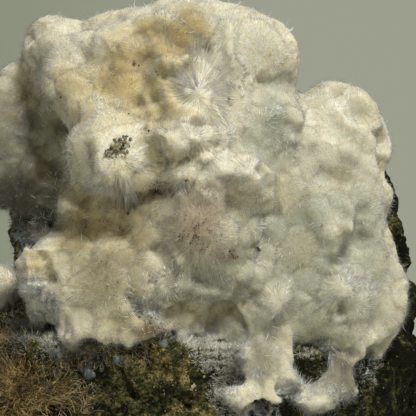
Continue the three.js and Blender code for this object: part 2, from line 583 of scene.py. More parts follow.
def sculpted(mesh: Mesh, strokes: tuple[Stroke, ...], strength: float = 1.0) -> None:
    """Works a mesh's surface with strokes, and holds it softly within the room in front.

    Args:
        mesh: The mesh.
        strokes: The strokes.
        strength: How much of each stroke's lift is used.
    """
    surface = Surface(mesh)
    points, normals = surface.points, surface.normals
    moves = np.zeros_like(points)
    wander = 0.3 * layered_noise(points, 1.8 * MM, 23, layers=2)
    for stroke in strokes:
        path = stroke.path(surface)
        if not len(path):
            LOG.warning("a stroke at %s passes over nothing", stroke.start)
            continue
        away = np.min([np.linalg.norm(points - place, axis=1) for place in path], axis=0)
        share = np.clip(1 - (away / (stroke.reach * MM) + wander) ** 2, 0, 1) ** 2
        share[away > stroke.reach * 1.4 * MM] = 0
        axis = (normals * share[:, None]).sum(axis=0)
        moves += share[:, None] * (axis / np.linalg.norm(axis)) * stroke.lift * strength * MM
    moved = points + moves
    past = np.maximum(FRONT - moved[:, 1], 0)
    moved[:, 1] += past - FRONT_ROOM * (1 - np.exp(-past / FRONT_ROOM))
    set_corners(mesh, moved)


# Shader building blocks


class Graph:
    """A small helper for wiring shader nodes."""

    def __init__(self, tree: bpy.types.NodeTree) -> None:
        """Empties the node tree of a material, world or group, and starts on it."""
        self.tree = tree
        tree.nodes.clear()

    def add(self, kind: str, inputs: dict | None = None, **settings: object) -> bpy.types.Node:
        """Adds a node.

        Args:
            kind: The node's type name, without the ShaderNode that most start with.
            inputs: Values or output sockets for its inputs, by name or number.
            settings: Attributes to set on the node.

        Returns:
            The node.
        """
        node = self.tree.nodes.new(kind if kind.startswith("NodeGroup") else f"ShaderNode{kind}")
        for key, value in settings.items():
            setattr(node, key, value)
        for key, value in (inputs or {}).items():
            socket = node.inputs[key]
            if isinstance(value, Socket):
                self.tree.links.new(value, socket)
            elif isinstance(value, tuple) and len(value) == 3 and socket.type == "RGBA":
                socket.default_value = (*value, 1.0)
            else:
                socket.default_value = value
        return node

    def ramp(self, factor: Socket, *stops: tuple[float, Colour]) -> Socket:
        """A colour ramp.

        Args:
            factor: What drives it.
            stops: Positions and colours, in order.

        Returns:
            Its colour output.
        """
        node = self.add("ValToRGB", {"Fac": factor})
        elements = node.color_ramp.elements
        while len(elements) < len(stops):
            elements.new(1.0)
        for element, (position, colour) in zip(elements, stops):
            element.position = position
            element.color = (*colour, 1.0)
        return node.outputs["Color"]

    def mix(self, share: Socket | float, first: Socket, second: Socket | Colour, blend: str = "MIX") -> Socket:
        """Mixes two colours, by the share of the second."""
        inputs = {0: share, 6: first, 7: second}
        return self.add("Mix", inputs, data_type="RGBA", blend_type=blend).outputs[2]

    def maths(self, operation: str, *values: Socket | float) -> Socket:
        """A sum on numbers."""
        return self.add("Math", dict(enumerate(values)), operation=operation).outputs[0]

    def vector(self, operation: str, inputs: dict) -> Socket:
        """A sum on vectors."""
        return self.add("VectorMath", inputs, operation=operation).outputs[0]

    def place(self) -> Socket:
        """The object's own coordinates."""
        return self.add("TexCoord").outputs["Object"]

    def attribute(self, name: str) -> bpy.types.Node:
        """What the mesh carries under a name."""
        return self.add("Attribute", attribute_name=name)

    def noise(self, place: Socket, scale: float, detail: float, roughness: float = 0.5) -> bpy.types.Node:
        """Layered noise."""
        inputs = {"Vector": place, "Scale": scale, "Detail": detail, "Roughness": roughness}
        return self.add("TexNoise", inputs)

    def shared(self, effect: bpy.types.NodeTree, setting: float) -> bpy.types.Node:
        """A shared effect, with its one setting."""
        return self.add("Group", {0: setting}, node_tree=effect)

    def bump(self, height: Socket, strength: float, distance: float) -> Socket:
        """The outward direction on a relief."""
        return self.add("Bump", {"Height": height, "Strength": strength, "Distance": distance}).outputs[0]

    def principled(self, inputs: dict) -> None:
        """Ends a material's tree with its Principled shader."""
        self.add("OutputMaterial", {"Surface": self.add("BsdfPrincipled", inputs).outputs[0]})


def new_material(name: str) -> tuple[Material, Graph]:
    """A material with an empty node tree.

    Args:
        name: The material's name.

    Returns:
        The material and a helper on its tree.
    """
    material = bpy.data.materials.new(name)
    material.use_nodes = True
    return material, Graph(material.node_tree)


def new_effect(name: str, setting: str, *outputs: str) -> tuple[bpy.types.NodeTree, Graph, Socket]:
    """An effect that materials share, as a node group without nodes of its own yet.

    Args:
        name: The group's name.
        setting: The name of its one input.
        outputs: The names of its outputs.

    Returns:
        The group, a helper on it and the socket of its input.
    """
    group = bpy.data.node_groups.new(name, "ShaderNodeTree")
    group.interface.new_socket(name=setting, in_out="INPUT", socket_type="NodeSocketFloat")
    for output in outputs:
        group.interface.new_socket(name=output, in_out="OUTPUT", socket_type="NodeSocketFloat")
    graph = Graph(group)
    return group, graph, graph.add("NodeGroupInput").outputs[0]


def speckle_group() -> bpy.types.NodeTree:
    """The shared effect of grains of random size: how bright each grain is, and how proud it stands.

    Returns:
        The group.
    """
    name = "grain speckle"
    if name in bpy.data.node_groups:
        return bpy.data.node_groups[name]
    group, graph, scale = new_effect(name, "Scale", "Grain", "Height")
    place = graph.place()
    warp = graph.noise(place, 700.0, 2.0).outputs["Color"]
    bent = graph.vector("MULTIPLY_ADD", {0: warp, 1: (0.0004, 0.0004, 0.0004), 2: place})
    cells = graph.add("TexVoronoi", {"Vector": bent, "Scale": scale})
    grain = graph.add("SeparateColor", {0: cells.outputs["Color"]}).outputs[0]
    height = graph.maths("SUBTRACT", 1.0, cells.outputs["Distance"])
    graph.add("NodeGroupOutput", {"Grain": grain, "Height": height})
    return group


def streak_group() -> bpy.types.NodeTree:
    """The shared effect of fibres that point away from the heart of their burst.

    The mesh carries the heart of each place's burst, in metres, in its heart attribute.

    Returns:
        The group.
    """
    name = "radiating streaks"
    if name in bpy.data.node_groups:
        return bpy.data.node_groups[name]
    group, graph, fineness = new_effect(name, "Fineness", "Streaks")
    away = graph.vector("SUBTRACT", {0: graph.place(), 1: graph.attribute("heart").outputs["Vector"]})
    ray = graph.vector("NORMALIZE", {0: away})
    spot = graph.vector("ADD", {0: ray, 1: graph.vector("SCALE", {0: away, "Scale": 40.0})})
    graph.add("NodeGroupOutput", {"Streaks": graph.noise(spot, fineness, 3.0, 0.6).outputs["Fac"]})
    return group


# Finishes


def grey(value: float) -> Colour:
    """A grey, from 0 for black to 1 for white."""
    return (value, value, value)


@dataclass(frozen=True)
class FeltFinish:
    """Silky okenite felt, whose colour comes with the mesh."""

    name: str = "felted okenite"
    roughness: float = 0.62
    softness: float = 0.85

    def build(self) -> Material:
        """Makes the material.

        Returns:
            The material.
        """
        material, graph = new_material(self.name)
        coarse, fine = (graph.shared(streak_group(), fineness).outputs[0] for fineness in (8.0, 24.0))
        fibres = graph.maths("MULTIPLY_ADD", coarse, 0.5, graph.maths("MULTIPLY", fine, 0.5))
        streaked = graph.ramp(fibres, (0.38, (0.74, 0.67, 0.50)), (0.58, grey(1)))
        clouds = graph.noise(graph.place(), 800.0, 4.0).outputs["Fac"]
        shade = graph.ramp(clouds, (0.32, (0.90, 0.88, 0.82)), (0.6, grey(1)))
        colour = graph.mix(1.0, graph.attribute("tint").outputs["Color"], streaked, "MULTIPLY")
        graph.principled({
            "Base Color": graph.mix(1.0, colour, shade, "MULTIPLY"),
            "Roughness": self.roughness,
            "IOR": 1.53,
            "Sheen Weight": 0.2,
            "Sheen Roughness": 0.4,
            "Subsurface Weight": self.softness,
            "Subsurface Radius": (1.0, 0.78, 0.42),
            "Subsurface Scale": 1.4 * MM,
            "Normal": graph.bump(graph.maths("MULTIPLY_ADD", clouds, 0.6, fibres), 0.7, 0.4 * MM),
        })
        return material


@dataclass(frozen=True)
class NeedleFinish:
    """Fine, glassy, partly clear needles, whose colour comes with the mesh."""

    name: str = "okenite needle"
    roughness: float = 0.33
    clear_to_light: float = 0.6

    def build(self) -> Material:
        """Makes the material.

        Returns:
            The material.
        """
        material, graph = new_material(self.name)
        stored = graph.attribute("tint").outputs
        flaws = graph.noise(graph.place(), 2500.0, 2.0).outputs["Fac"]
        shade = graph.ramp(flaws, (0.3, (0.86, 0.85, 0.80)), (0.6, grey(1)))
        to_light = graph.add("LightPath").outputs["Is Shadow Ray"]
        clearness = graph.maths("MULTIPLY_ADD", to_light, -self.clear_to_light, 1.0)
        graph.principled({
            "Base Color": graph.mix(1.0, stored["Color"], shade, "MULTIPLY"),
            "Roughness": self.roughness,
            "IOR": 1.53,
            "Subsurface Weight": 0.8,
            "Subsurface Radius": (1.0, 1.0, 1.0),
            "Subsurface Scale": 0.3 * MM,
            "Normal": graph.attribute("sheen").outputs["Vector"],
            "Alpha": graph.maths("MULTIPLY", stored["Alpha"], clearness),
        })
        return material


@dataclass(frozen=True)
class BasaltFinish:
    """Dark basalt with a fine grain of black, olive and ochre minerals, grey druse, and painted shade in its
    hollows.
    """

    name: str = "fractured basalt"
    minerals: tuple[tuple[float, Colour], ...] = (
        (0.56, (0.008, 0.008, 0.003)), (0.63, (0.028, 0.030, 0.009)), (0.70, (0.068, 0.068, 0.026)),
        (0.77, (0.14, 0.112, 0.040)), (0.85, (0.32, 0.25, 0.10)),
    )
    chip: Colour = (0.30, 0.29, 0.22)
    druse: Colour = (0.16, 0.18, 0.165)
    hollow: Colour = (0.008, 0.008, 0.005)

    def build(self) -> Material:
        """Makes the material.

        Returns:
            The material.
        """
        material, graph = new_material(self.name)
        place = graph.place()
        parts = graph.add("SeparateColor", {0: graph.attribute("tint").outputs["Color"]})
        rust, druse, hollow = parts.outputs[:3]
        coarse, fine = (graph.shared(speckle_group(), scale).outputs for scale in (2300.0, 5200.0))
        patches = graph.noise(place, 220.0, 6.0).outputs["Fac"]
        mottle = graph.noise(place, 900.0, 6.0, 0.65).outputs["Fac"]
        frost = graph.noise(place, 700.0, 5.0).outputs["Fac"]
        pick = graph.maths("MULTIPLY_ADD", patches, 0.75, graph.maths("MULTIPLY_ADD", rust, 0.16, -0.125))
        pick = graph.maths("MULTIPLY_ADD", mottle, 0.6, pick)
        pick = graph.maths("MULTIPLY_ADD", coarse["Grain"], 0.16, pick)
        bright = graph.ramp(fine["Grain"], (0.0, grey(0.45)), (0.9, (1.25, 1.25, 1.2)))
        colour = graph.mix(1.0, graph.ramp(pick, *self.minerals), bright, "MULTIPLY")
        colour = graph.mix(graph.maths("GREATER_THAN", fine["Grain"], 0.996), colour, self.chip)
        crust = graph.maths("MULTIPLY", druse, graph.maths("MULTIPLY", frost, 2.0))
        colour = graph.mix(graph.ramp(crust, (0.55, grey(0)), (0.85, grey(1))), colour, self.druse)
        lumps = graph.maths("MULTIPLY_ADD", fine["Height"], 0.5, coarse["Height"])
        graph.principled({
            # The hollows are darkened towards near-black: painted shade.
            "Base Color": graph.mix(graph.maths("MULTIPLY", hollow, 0.75), colour, self.hollow),
            "Roughness": graph.ramp(fine["Grain"], (0.0, grey(0.45)), (0.5, grey(0.9))),
            "Specular IOR Level": 0.1,
            "Normal": graph.bump(graph.maths("MULTIPLY_ADD", mottle, 3.0, lumps), 1.0, 0.3 * MM),
        })
        return material


@dataclass(frozen=True)
class GrainFinish:
    """Mineral grains or stained fibres, whose colour comes with the mesh."""

    name: str
    roughness: float

    def build(self) -> Material:
        """Makes the material.

        Returns:
            The material.
        """
        material, graph = new_material(self.name)
        grain = graph.shared(speckle_group(), 5000.0).outputs
        shade = graph.ramp(grain["Grain"], (0.0, grey(0.6)), (1.0, grey(1)))
        graph.principled({
            "Base Color": graph.mix(1.0, graph.attribute("tint").outputs["Color"], shade, "MULTIPLY"),
            "Roughness": self.roughness,
            "Normal": graph.bump(grain["Height"], 0.5, 0.08 * MM),
        })
        return material


# Stains and painted shade


@dataclass(frozen=True)
class TintPatch:
    """A patch where the okenite has another colour: one of its own stains, painted shade, or painted light."""

    at: Spot
    reach: float
    colour: Colour
    strength: float


HONEY: Colour = (0.62, 0.475, 0.195)
AMBER: Colour = (0.44, 0.35, 0.135)
CREAM: Colour = (0.84, 0.76, 0.52)
TAN: Colour = (0.50, 0.42, 0.24)
WHITE: Colour = (0.92, 0.915, 0.87)
# This grey colours some dark grains, and in the okenite's patches it is painted shade.
GREY_AND_PAINTED_SHADE: Colour = (0.225, 0.225, 0.16)
SILVER: Colour = (0.49, 0.53, 0.49)
FAWN: Colour = (0.44, 0.40, 0.285)
# This near-black is painted shadow in the okenite's groove, on its left flank and in a dark hole of the crown.
PAINTED_SHADOW: Colour = (0.085, 0.08, 0.045)
# This is the pale colour that needle tips and the main sprays are lightened towards: painted glow of light
# through the fibres.
GLOW: Colour = (0.95, 0.935, 0.80)
ROSE: Colour = (0.38, 0.29, 0.19)
UMBER: Colour = (0.28, 0.18, 0.07)

# Where each patch is, its reach in millimetres, its colour and its strength. Later ones lie over earlier.
# Most are the okenite's own stains. The smoke-grey and near-black ones are painted shade: on the left flank
# and in its groove, in a dark hole of the crown, under the balls, in the bowl, around the legs below it and
# beside the cup on the right. The cream, white and silver ones at (-9.8, 18.6), (-5.2, 18.8), (-2, 12.4),
# (-2.4, 11.2), (-26.2, -17.6) and (-26.4, -17) are painted light in shaded hollows.
OKENITE_STAINS_AND_SHADE = tuple(TintPatch(*row) for row in (
    ((-16.5, 25.2), 6, CREAM, 0.9), ((-9, 25.6), 6.5, HONEY, 0.8), ((-4, 26.6), 5.5, HONEY, 0.95),
    ((-14.5, 21), 6, HONEY, 0.6), ((-20, 18), 5, CREAM, 0.9), ((-22.5, 21), 4, HONEY, 0.5),
    ((-26.5, 24.5), 3.4, GREY_AND_PAINTED_SHADE, 0.5), ((-8, 20), 5.5, CREAM, 0.9), ((-11, 16.6), 4.5, HONEY, 0.55),
    ((-6, 15), 4, HONEY, 0.55), ((-17, 28), 5, CREAM, 0.7), ((-2, 14.8), 2.6, HONEY, 0.6),
    ((-15, 14), 4, CREAM, 0.5), ((-8.5, 8), 3.5, CREAM, 0.7), ((-8, 3.5), 3.2, TAN, 0.4),
    ((-14.4, 3.6), 2.6, UMBER, 0.45), ((-14, 10.6), 4, WHITE, 0.8), ((-19.6, 8.6), 2.6, GREY_AND_PAINTED_SHADE, 0.6),
    ((-20, 1.6), 2.6, TAN, 0.6), ((-20, -3.5), 5, TAN, 0.6), ((-2, 18.6), 3.6, WHITE, 1),
    ((-2, 12.4), 3.6, WHITE, 0.9), ((-13, 5), 3.6, CREAM, 0.7), ((3, 7), 5, WHITE, 1),
    ((1.5, 9), 3, WHITE, 0.6), ((20, -8), 17, SILVER, 0.8), ((19, -25), 8, SILVER, 0.7),
    ((20.5, -25), 6, GREY_AND_PAINTED_SHADE, 0.8), ((9.6, 11), 7, SILVER, 0.75), ((10.4, 15.4), 4, SILVER, 0.6),
    ((-16, 20.5), 5.5, HONEY, 0.5), ((-11, 20.6), 4, HONEY, 0.4), ((24, 0), 8, SILVER, 0.4),
    ((15, -4), 6, SILVER, 0.6), ((10, -18), 5, SILVER, 0.6), ((14, -2), 6, SILVER, 0.5),
    ((-4.4, 27.4), 5.5, AMBER, 0.9), ((-9, 29), 3.6, AMBER, 0.6), ((-2, 30.4), 4, AMBER, 0.8),
    ((-1.4, 25), 2.6, AMBER, 0.8), ((-7, 22.6), 3, AMBER, 0.4), ((-6.4, 13.6), 4.4, AMBER, 0.35),
    ((0, 25.4), 1.1, PAINTED_SHADOW, 0.7), ((-7.4, 27), 1.4, AMBER, 0.6), ((-24.6, 12), 2.4, PAINTED_SHADOW, 0.6),
    ((-24.4, 6), 2.4, PAINTED_SHADOW, 0.75), ((-24.8, 1.6), 2.6, PAINTED_SHADOW, 0.8), ((-25.6, 17), 2, GREY_AND_PAINTED_SHADE, 0.5),
    ((-4.6, 8.6), 3, AMBER, 0.35), ((-12, 0.8), 3.6, AMBER, 0.5), ((-24.5, -4), 4, GREY_AND_PAINTED_SHADE, 0.7),
    ((18, 14), 12, SILVER, 0.4), ((2, -12), 9, SILVER, 0.5), ((2.4, 0.6), 4.5, ROSE, 0.35),
    ((-20.5, -4.6), 5, TAN, 0.7), ((-13, -8), 6, TAN, 0.5), ((8.6, 26), 5.5, SILVER, 0.35),
    ((3.4, 21.8), 2.6, SILVER, 0.55), ((10, 19), 4, SILVER, 0.5), ((8.4, 5), 3, WHITE, 0.9),
    ((-2.2, -2.6), 6.4, ROSE, 0.75), ((3.4, -7), 3.4, ROSE, 0.3), ((-4, -9), 5, GREY_AND_PAINTED_SHADE, 0.35),
    ((-17, -12), 9, FAWN, 0.9), ((-27, -9), 3, CREAM, 0.9), ((-26.2, -17.6), 4.2, SILVER, 0.95),
    ((-31, 12), 10, GREY_AND_PAINTED_SHADE, 0.78), ((-30, 0), 7, GREY_AND_PAINTED_SHADE, 0.95), ((-31.5, 1), 8, PAINTED_SHADOW, 0.95),
    ((-27, 6), 2.4, UMBER, 0.5), ((-12, -3.6), 5, TAN, 0.6), ((-12, 2), 7, HONEY, 0.35),
    ((-17, -4), 6, HONEY, 0.3), ((-27, -11.8), 1.8, TAN, 0.8), ((-13, -17.5), 4, CREAM, 0.6),
    ((-9.6, -20), 2.6, UMBER, 0.8), ((-17, -21.6), 2.4, UMBER, 0.45), ((3, -20), 5.2, GREY_AND_PAINTED_SHADE, 0.8),
    ((8, -23), 4, GREY_AND_PAINTED_SHADE, 0.5), ((6, -13), 3.6, GREY_AND_PAINTED_SHADE, 0.4), ((11.2, -15), 3, WHITE, 0.8),
    ((12.6, 2), 3.6, TAN, 0.35), ((20, 15), 6, WHITE, 0.8), ((21, 4.6), 2.6, TAN, 0.4),
    ((20.4, -3), 2.6, WHITE, 0.7), ((25, -4), 2.6, GREY_AND_PAINTED_SHADE, 0.3), ((23, -12.5), 3.6, WHITE, 0.8),
    ((15, -7), 4, TAN, 0.4), ((5, -29.5), 4, WHITE, 0.7), ((2, -29.6), 2.4, HONEY, 0.4),
    ((9.4, -18.6), 5, GREY_AND_PAINTED_SHADE, 0.45), ((-1, -22.5), 2.4, CREAM, 0.6), ((-26.4, -17), 4, WHITE, 0.7),
    ((-24, -14), 1.6, WHITE, 0.5), ((18, -21), 3, GREY_AND_PAINTED_SHADE, 0.3), ((-9.8, 18.6), 2.2, CREAM, 0.85),
    ((-5.2, 18.8), 2, CREAM, 0.6), ((8.8, -25.4), 3.2, GREY_AND_PAINTED_SHADE, 0.45), ((21.8, -28.6), 3.6, GREY_AND_PAINTED_SHADE, 0.45),
    ((-18.2, 27.2), 5, WHITE, 0.85), ((-2.4, 11.2), 4, WHITE, 0.8), ((-21, 23.6), 2.4, WHITE, 0.4),
))


class StainAndShadeMap:
    """The colours of the okenite over the whole cluster, with the painted shade and light that some patches
    lay in.
    """

    ground: Colour = (0.88, 0.87, 0.79)
    # Hollows and creases are darkened towards this colour: painted shade.
    hollow_shade: Colour = (0.60, 0.48, 0.27)

    def __init__(self, surface: Surface) -> None:
        """Finds where each patch lies on the surface of the cluster."""
        found = [(tint_patch, surface.sighted(tint_patch.at)) for tint_patch in OKENITE_STAINS_AND_SHADE]
        self.tint_patches = [(tint_patch, np.array(place)) for tint_patch, place in found if place is not None]

    def colours(self, points: Array) -> Array:
        """The okenite's colour at places on it.

        Args:
            points: An (n, 3) array, in metres.

        Returns:
            An (n, 3) array of colours.
        """
        result = np.tile(np.array(self.ground), (len(points), 1))
        wash = 0.5 + 0.5 * layered_noise(points, 5 * MM, 41)
        result += (np.array(CREAM) - result) * (0.4 * ramp(wash, 0.45, 0.8))[:, None]
        edge = 0.35 * layered_noise(points, 2.4 * MM, 47)
        for tint_patch, place in self.tint_patches:
            away = np.linalg.norm(points - place, axis=1) / (tint_patch.reach * MM) + edge
            share = tint_patch.strength * (1 - ramp(away, 0.25, 1.15))
            result += (np.array(tint_patch.colour) - result) * share[:, None]
        return result


# Bursts


@dataclass(frozen=True)
class Burst:
    """A spray of needles that point away from a heart under the surface.

    Where they point along the sweep, to the right and up, they are longer, and against it they are shorter.
    """

    at: Spot
    reach: float
    depth: float
    length: float
    crowd: float = 1.0
    sweep: Spot = (0.0, 0.0)


# Where each burst is, its reach, the depth of its heart and the length of its needles in millimetres, how
# crowded it is and its sweep.
MAIN_BURSTS = tuple(Burst(*row) for row in (
    ((-14.3, 8.9), 7.8, 1.6, 2.6, 1.5, (0.45, -0.75)), ((-1.8, 18.4), 7.4, 0.9, 3.2, 1.6, (0.2, 0.3)),
    ((-1.9, 12), 4.4, 0.7, 2.2, 1.4), ((-1, -3.6), 9, 1.6, 2, 1.15), ((-15.5, 14.6), 5.4, 2.2, 0.9, 0.8),
    ((-20, 8.2), 3.8, 1.4, 0.8, 0.8), ((-6, 24.6), 4.4, 0.6, 3, 1.2), ((3, 27.6), 3.6, 0.9, 2.2, 1.3),
    ((8.6, 25.6), 5.6, 1.6, 1.2), ((-7, 28.6), 3.6, 0.9, 2.2, 1.2), ((-11.5, 25.6), 3.6, 1, 1.6),
    ((-24, 24.6), 4.4, 1.6, 1.2), ((-17, 21), 4.6, 1.6, 1.1), ((9.6, 12.6), 5.4, 2, 0.8, 0.8),
    ((12.6, 3.6), 4.6, 1.8, 0.9, 0.8), ((7, 6.6), 3.4, 1.2, 1.4), ((-16.8, -13), 6.6, 2.2, 1.2),
    ((-22.5, -2), 3.6, 1.2, 1.6), ((-9.5, -4), 3.4, 0.9, 2, 1.2), ((-6.4, -12.6), 4, 0.9, 1.8, 1.2),
    ((-0.6, -13.6), 3.2, 0.9, 1.6, 1.2), ((3, -19), 5, 2.4, 0.7, 0.8), ((11.2, -15), 3.6, 0.9, 2.2, 1.3),
    ((20.4, 14), 6.4, 2.6, 0.8, 0.8), ((19.6, 8.4), 3.6, 1.4, 1), ((18.6, -1), 4.4, 1.8, 0.8, 0.8),
    ((14.6, -6), 4.6, 1.8, 1, 0.8), ((21.6, -13), 4.8, 0.8, 2.8, 1.5), ((28, -12), 3.6, 1.6, 1),
    ((27, -4), 3.6, 1.6, 1), ((18.6, -20), 3.6, 1.4, 1.2), ((25.6, -22), 3.4, 1.4, 1.2),
    ((5, -28.4), 3.8, 1.4, 1.3, 1, (-0.3, 0)), ((-27.2, -8.6), 2.4, 1, 0.7), ((-32, 15), 5, 1.4, 2.2),
    ((-32, 5), 5, 1.4, 2.2),
))


class Bursts:
    """The hearts of all the needle sprays of a surface: the named ones, and small ones between them."""

    small_depth: Spot = (0.4, 1.1)
    small_length: Spot = (0.6, 1.5)
    small_reach: Spot = (2.0, 4.2)
    small_tries: int = 5000
    named_room: float = 0.75
    small_room: float = 1.15

    def __init__(self, surface: Surface, open_share: Array, named: tuple[Burst, ...], seed: int) -> None:
        """Places the hearts.

        Args:
            surface: The surface.
            open_share: How far each of its triangles is open to the air.
            named: The named sprays.
            seed: The seed of the small ones.
        """
        dice = np.random.default_rng(seed)
        rows: list[tuple[float, ...]] = []
        guards: list[tuple[float, ...]] = []
        for burst in named:
            place = surface.sighted(burst.at)
            if place is None:
                LOG.warning("a burst at %s has nothing under it", burst.at)
                continue
            heart = place - surface.outward_at(place) * burst.depth * MM
            rows.append((*heart, burst.reach * MM, burst.length * MM, burst.crowd, *burst.sweep))
            guards.append((*place, burst.reach * self.named_room * MM))
        places, outward = surface.strewn(self.small_tries, open_share, dice)
        for place, away in zip(places, outward):
            taken = np.array(guards)
            if np.any(np.linalg.norm(taken[:, :3] - place, axis=1) < taken[:, 3]):
                continue
            reach = dice.uniform(*self.small_reach) * MM
            heart = place - away * dice.uniform(*self.small_depth) * MM
            rows.append((*heart, reach, dice.uniform(*self.small_length) * MM, 1.0, 0.0, 0.0))
            guards.append((*place, reach * self.small_room))
        table = np.array(rows)
        self.hearts = table[:, :3]
        self.reaches, self.lengths, self.crowds = table[:, 3:6].T
        self.sweeps = np.insert(table[:, 6:8], 1, 0.0, axis=1)
        LOG.info("bursts: %d", len(table))

    def around(self, points: Array) -> tuple[Array, Array, Array]:
        """Which burst each place belongs to.

        Args:
            points: An (n, 3) array, in metres.

        Returns:
            One burst number for each place, how far out in the burst it is, in reaches, and how far it is
            from the crease towards the next burst, in metres.
        """
        wobble = np.stack([smooth_noise(points, 3.2 * MM, 61 + axis) for axis in range(3)], axis=1) * 1.3 * MM
        best, second = np.full((2, len(points)), 9.0)
        owner = np.zeros(len(points), dtype=int)
        for number, (heart, reach) in enumerate(zip(self.hearts, self.reaches)):
            away = np.linalg.norm(points + wobble - heart, axis=1) / reach
            closer = away < best
            second = np.where(closer, best, np.minimum(second, away))
            best[closer] = away[closer]
            owner[closer] = number
        return owner, best, (second - best) * self.reaches[owner] / 2

    def nearest(self, points: Array) -> Array:
        """Which burst each place belongs to, as one burst number for each place."""
        return self.around(points)[0]


# Where the felt is calm and silky: the spot and the reach in millimetres.
CALM: tuple[tuple[Spot, float], ...] = (
    ((9.6, 25.6), 5.5), ((9.6, 12), 6), ((13, 4), 5.5), ((21, 14), 8), ((24, 4), 6), ((17, -3), 6.5),
    ((26, -8), 6), ((-18, -12), 5), ((16, -20), 5), ((21, -26), 4), ((9, -26), 4), ((24, -14), 4),
    ((-16, 14.4), 3.6),
)

# Where more stray needles stand out, thicker and painted bright as glints: the spot and the reach in
# millimetres.
GLINTS: tuple[tuple[Spot, float], ...] = (
    ((-22.4, 9), 2), ((-22.6, 4), 2), ((-7.4, 3.6), 2.4), ((-3.6, 3.4), 1.6), ((4.4, 24), 2.6),
    ((4.8, 20), 2.2), ((3.6, 11.4), 1.6), ((8.2, -7), 2.4), ((8.2, -2.8), 1.6), ((-12, -15), 2.6),
    ((-5.6, -12.4), 2.4), ((24, -13), 2.6), ((12.4, 10.4), 1.6), ((9.6, 14.6), 1.8), ((13.6, 9.4), 1.6),
    ((21.6, -9.8), 2), ((-24.6, -2), 2.4), ((-17.2, 16), 2.6),
)


def nearness(points: Array, surface: Surface, patches: tuple[tuple[Spot, float], ...]) -> Array:
    """How near places are to the middles of soft round patches.

    Args:
        points: The places, as an (n, 3) array, in metres.
        surface: The surface that the patches lie on.
        patches: The spot and the reach in millimetres of each patch.

    Returns:
        One share for each place, 1 in the middle of a patch.
    """
    share = np.zeros(len(points))
    for at, reach in patches:
        place = surface.sighted(at)
        if place is not None:
            away = np.linalg.norm(points - place, axis=1) / (reach * MM)
            share = np.maximum(share, np.exp(-(away**2)))
    return share


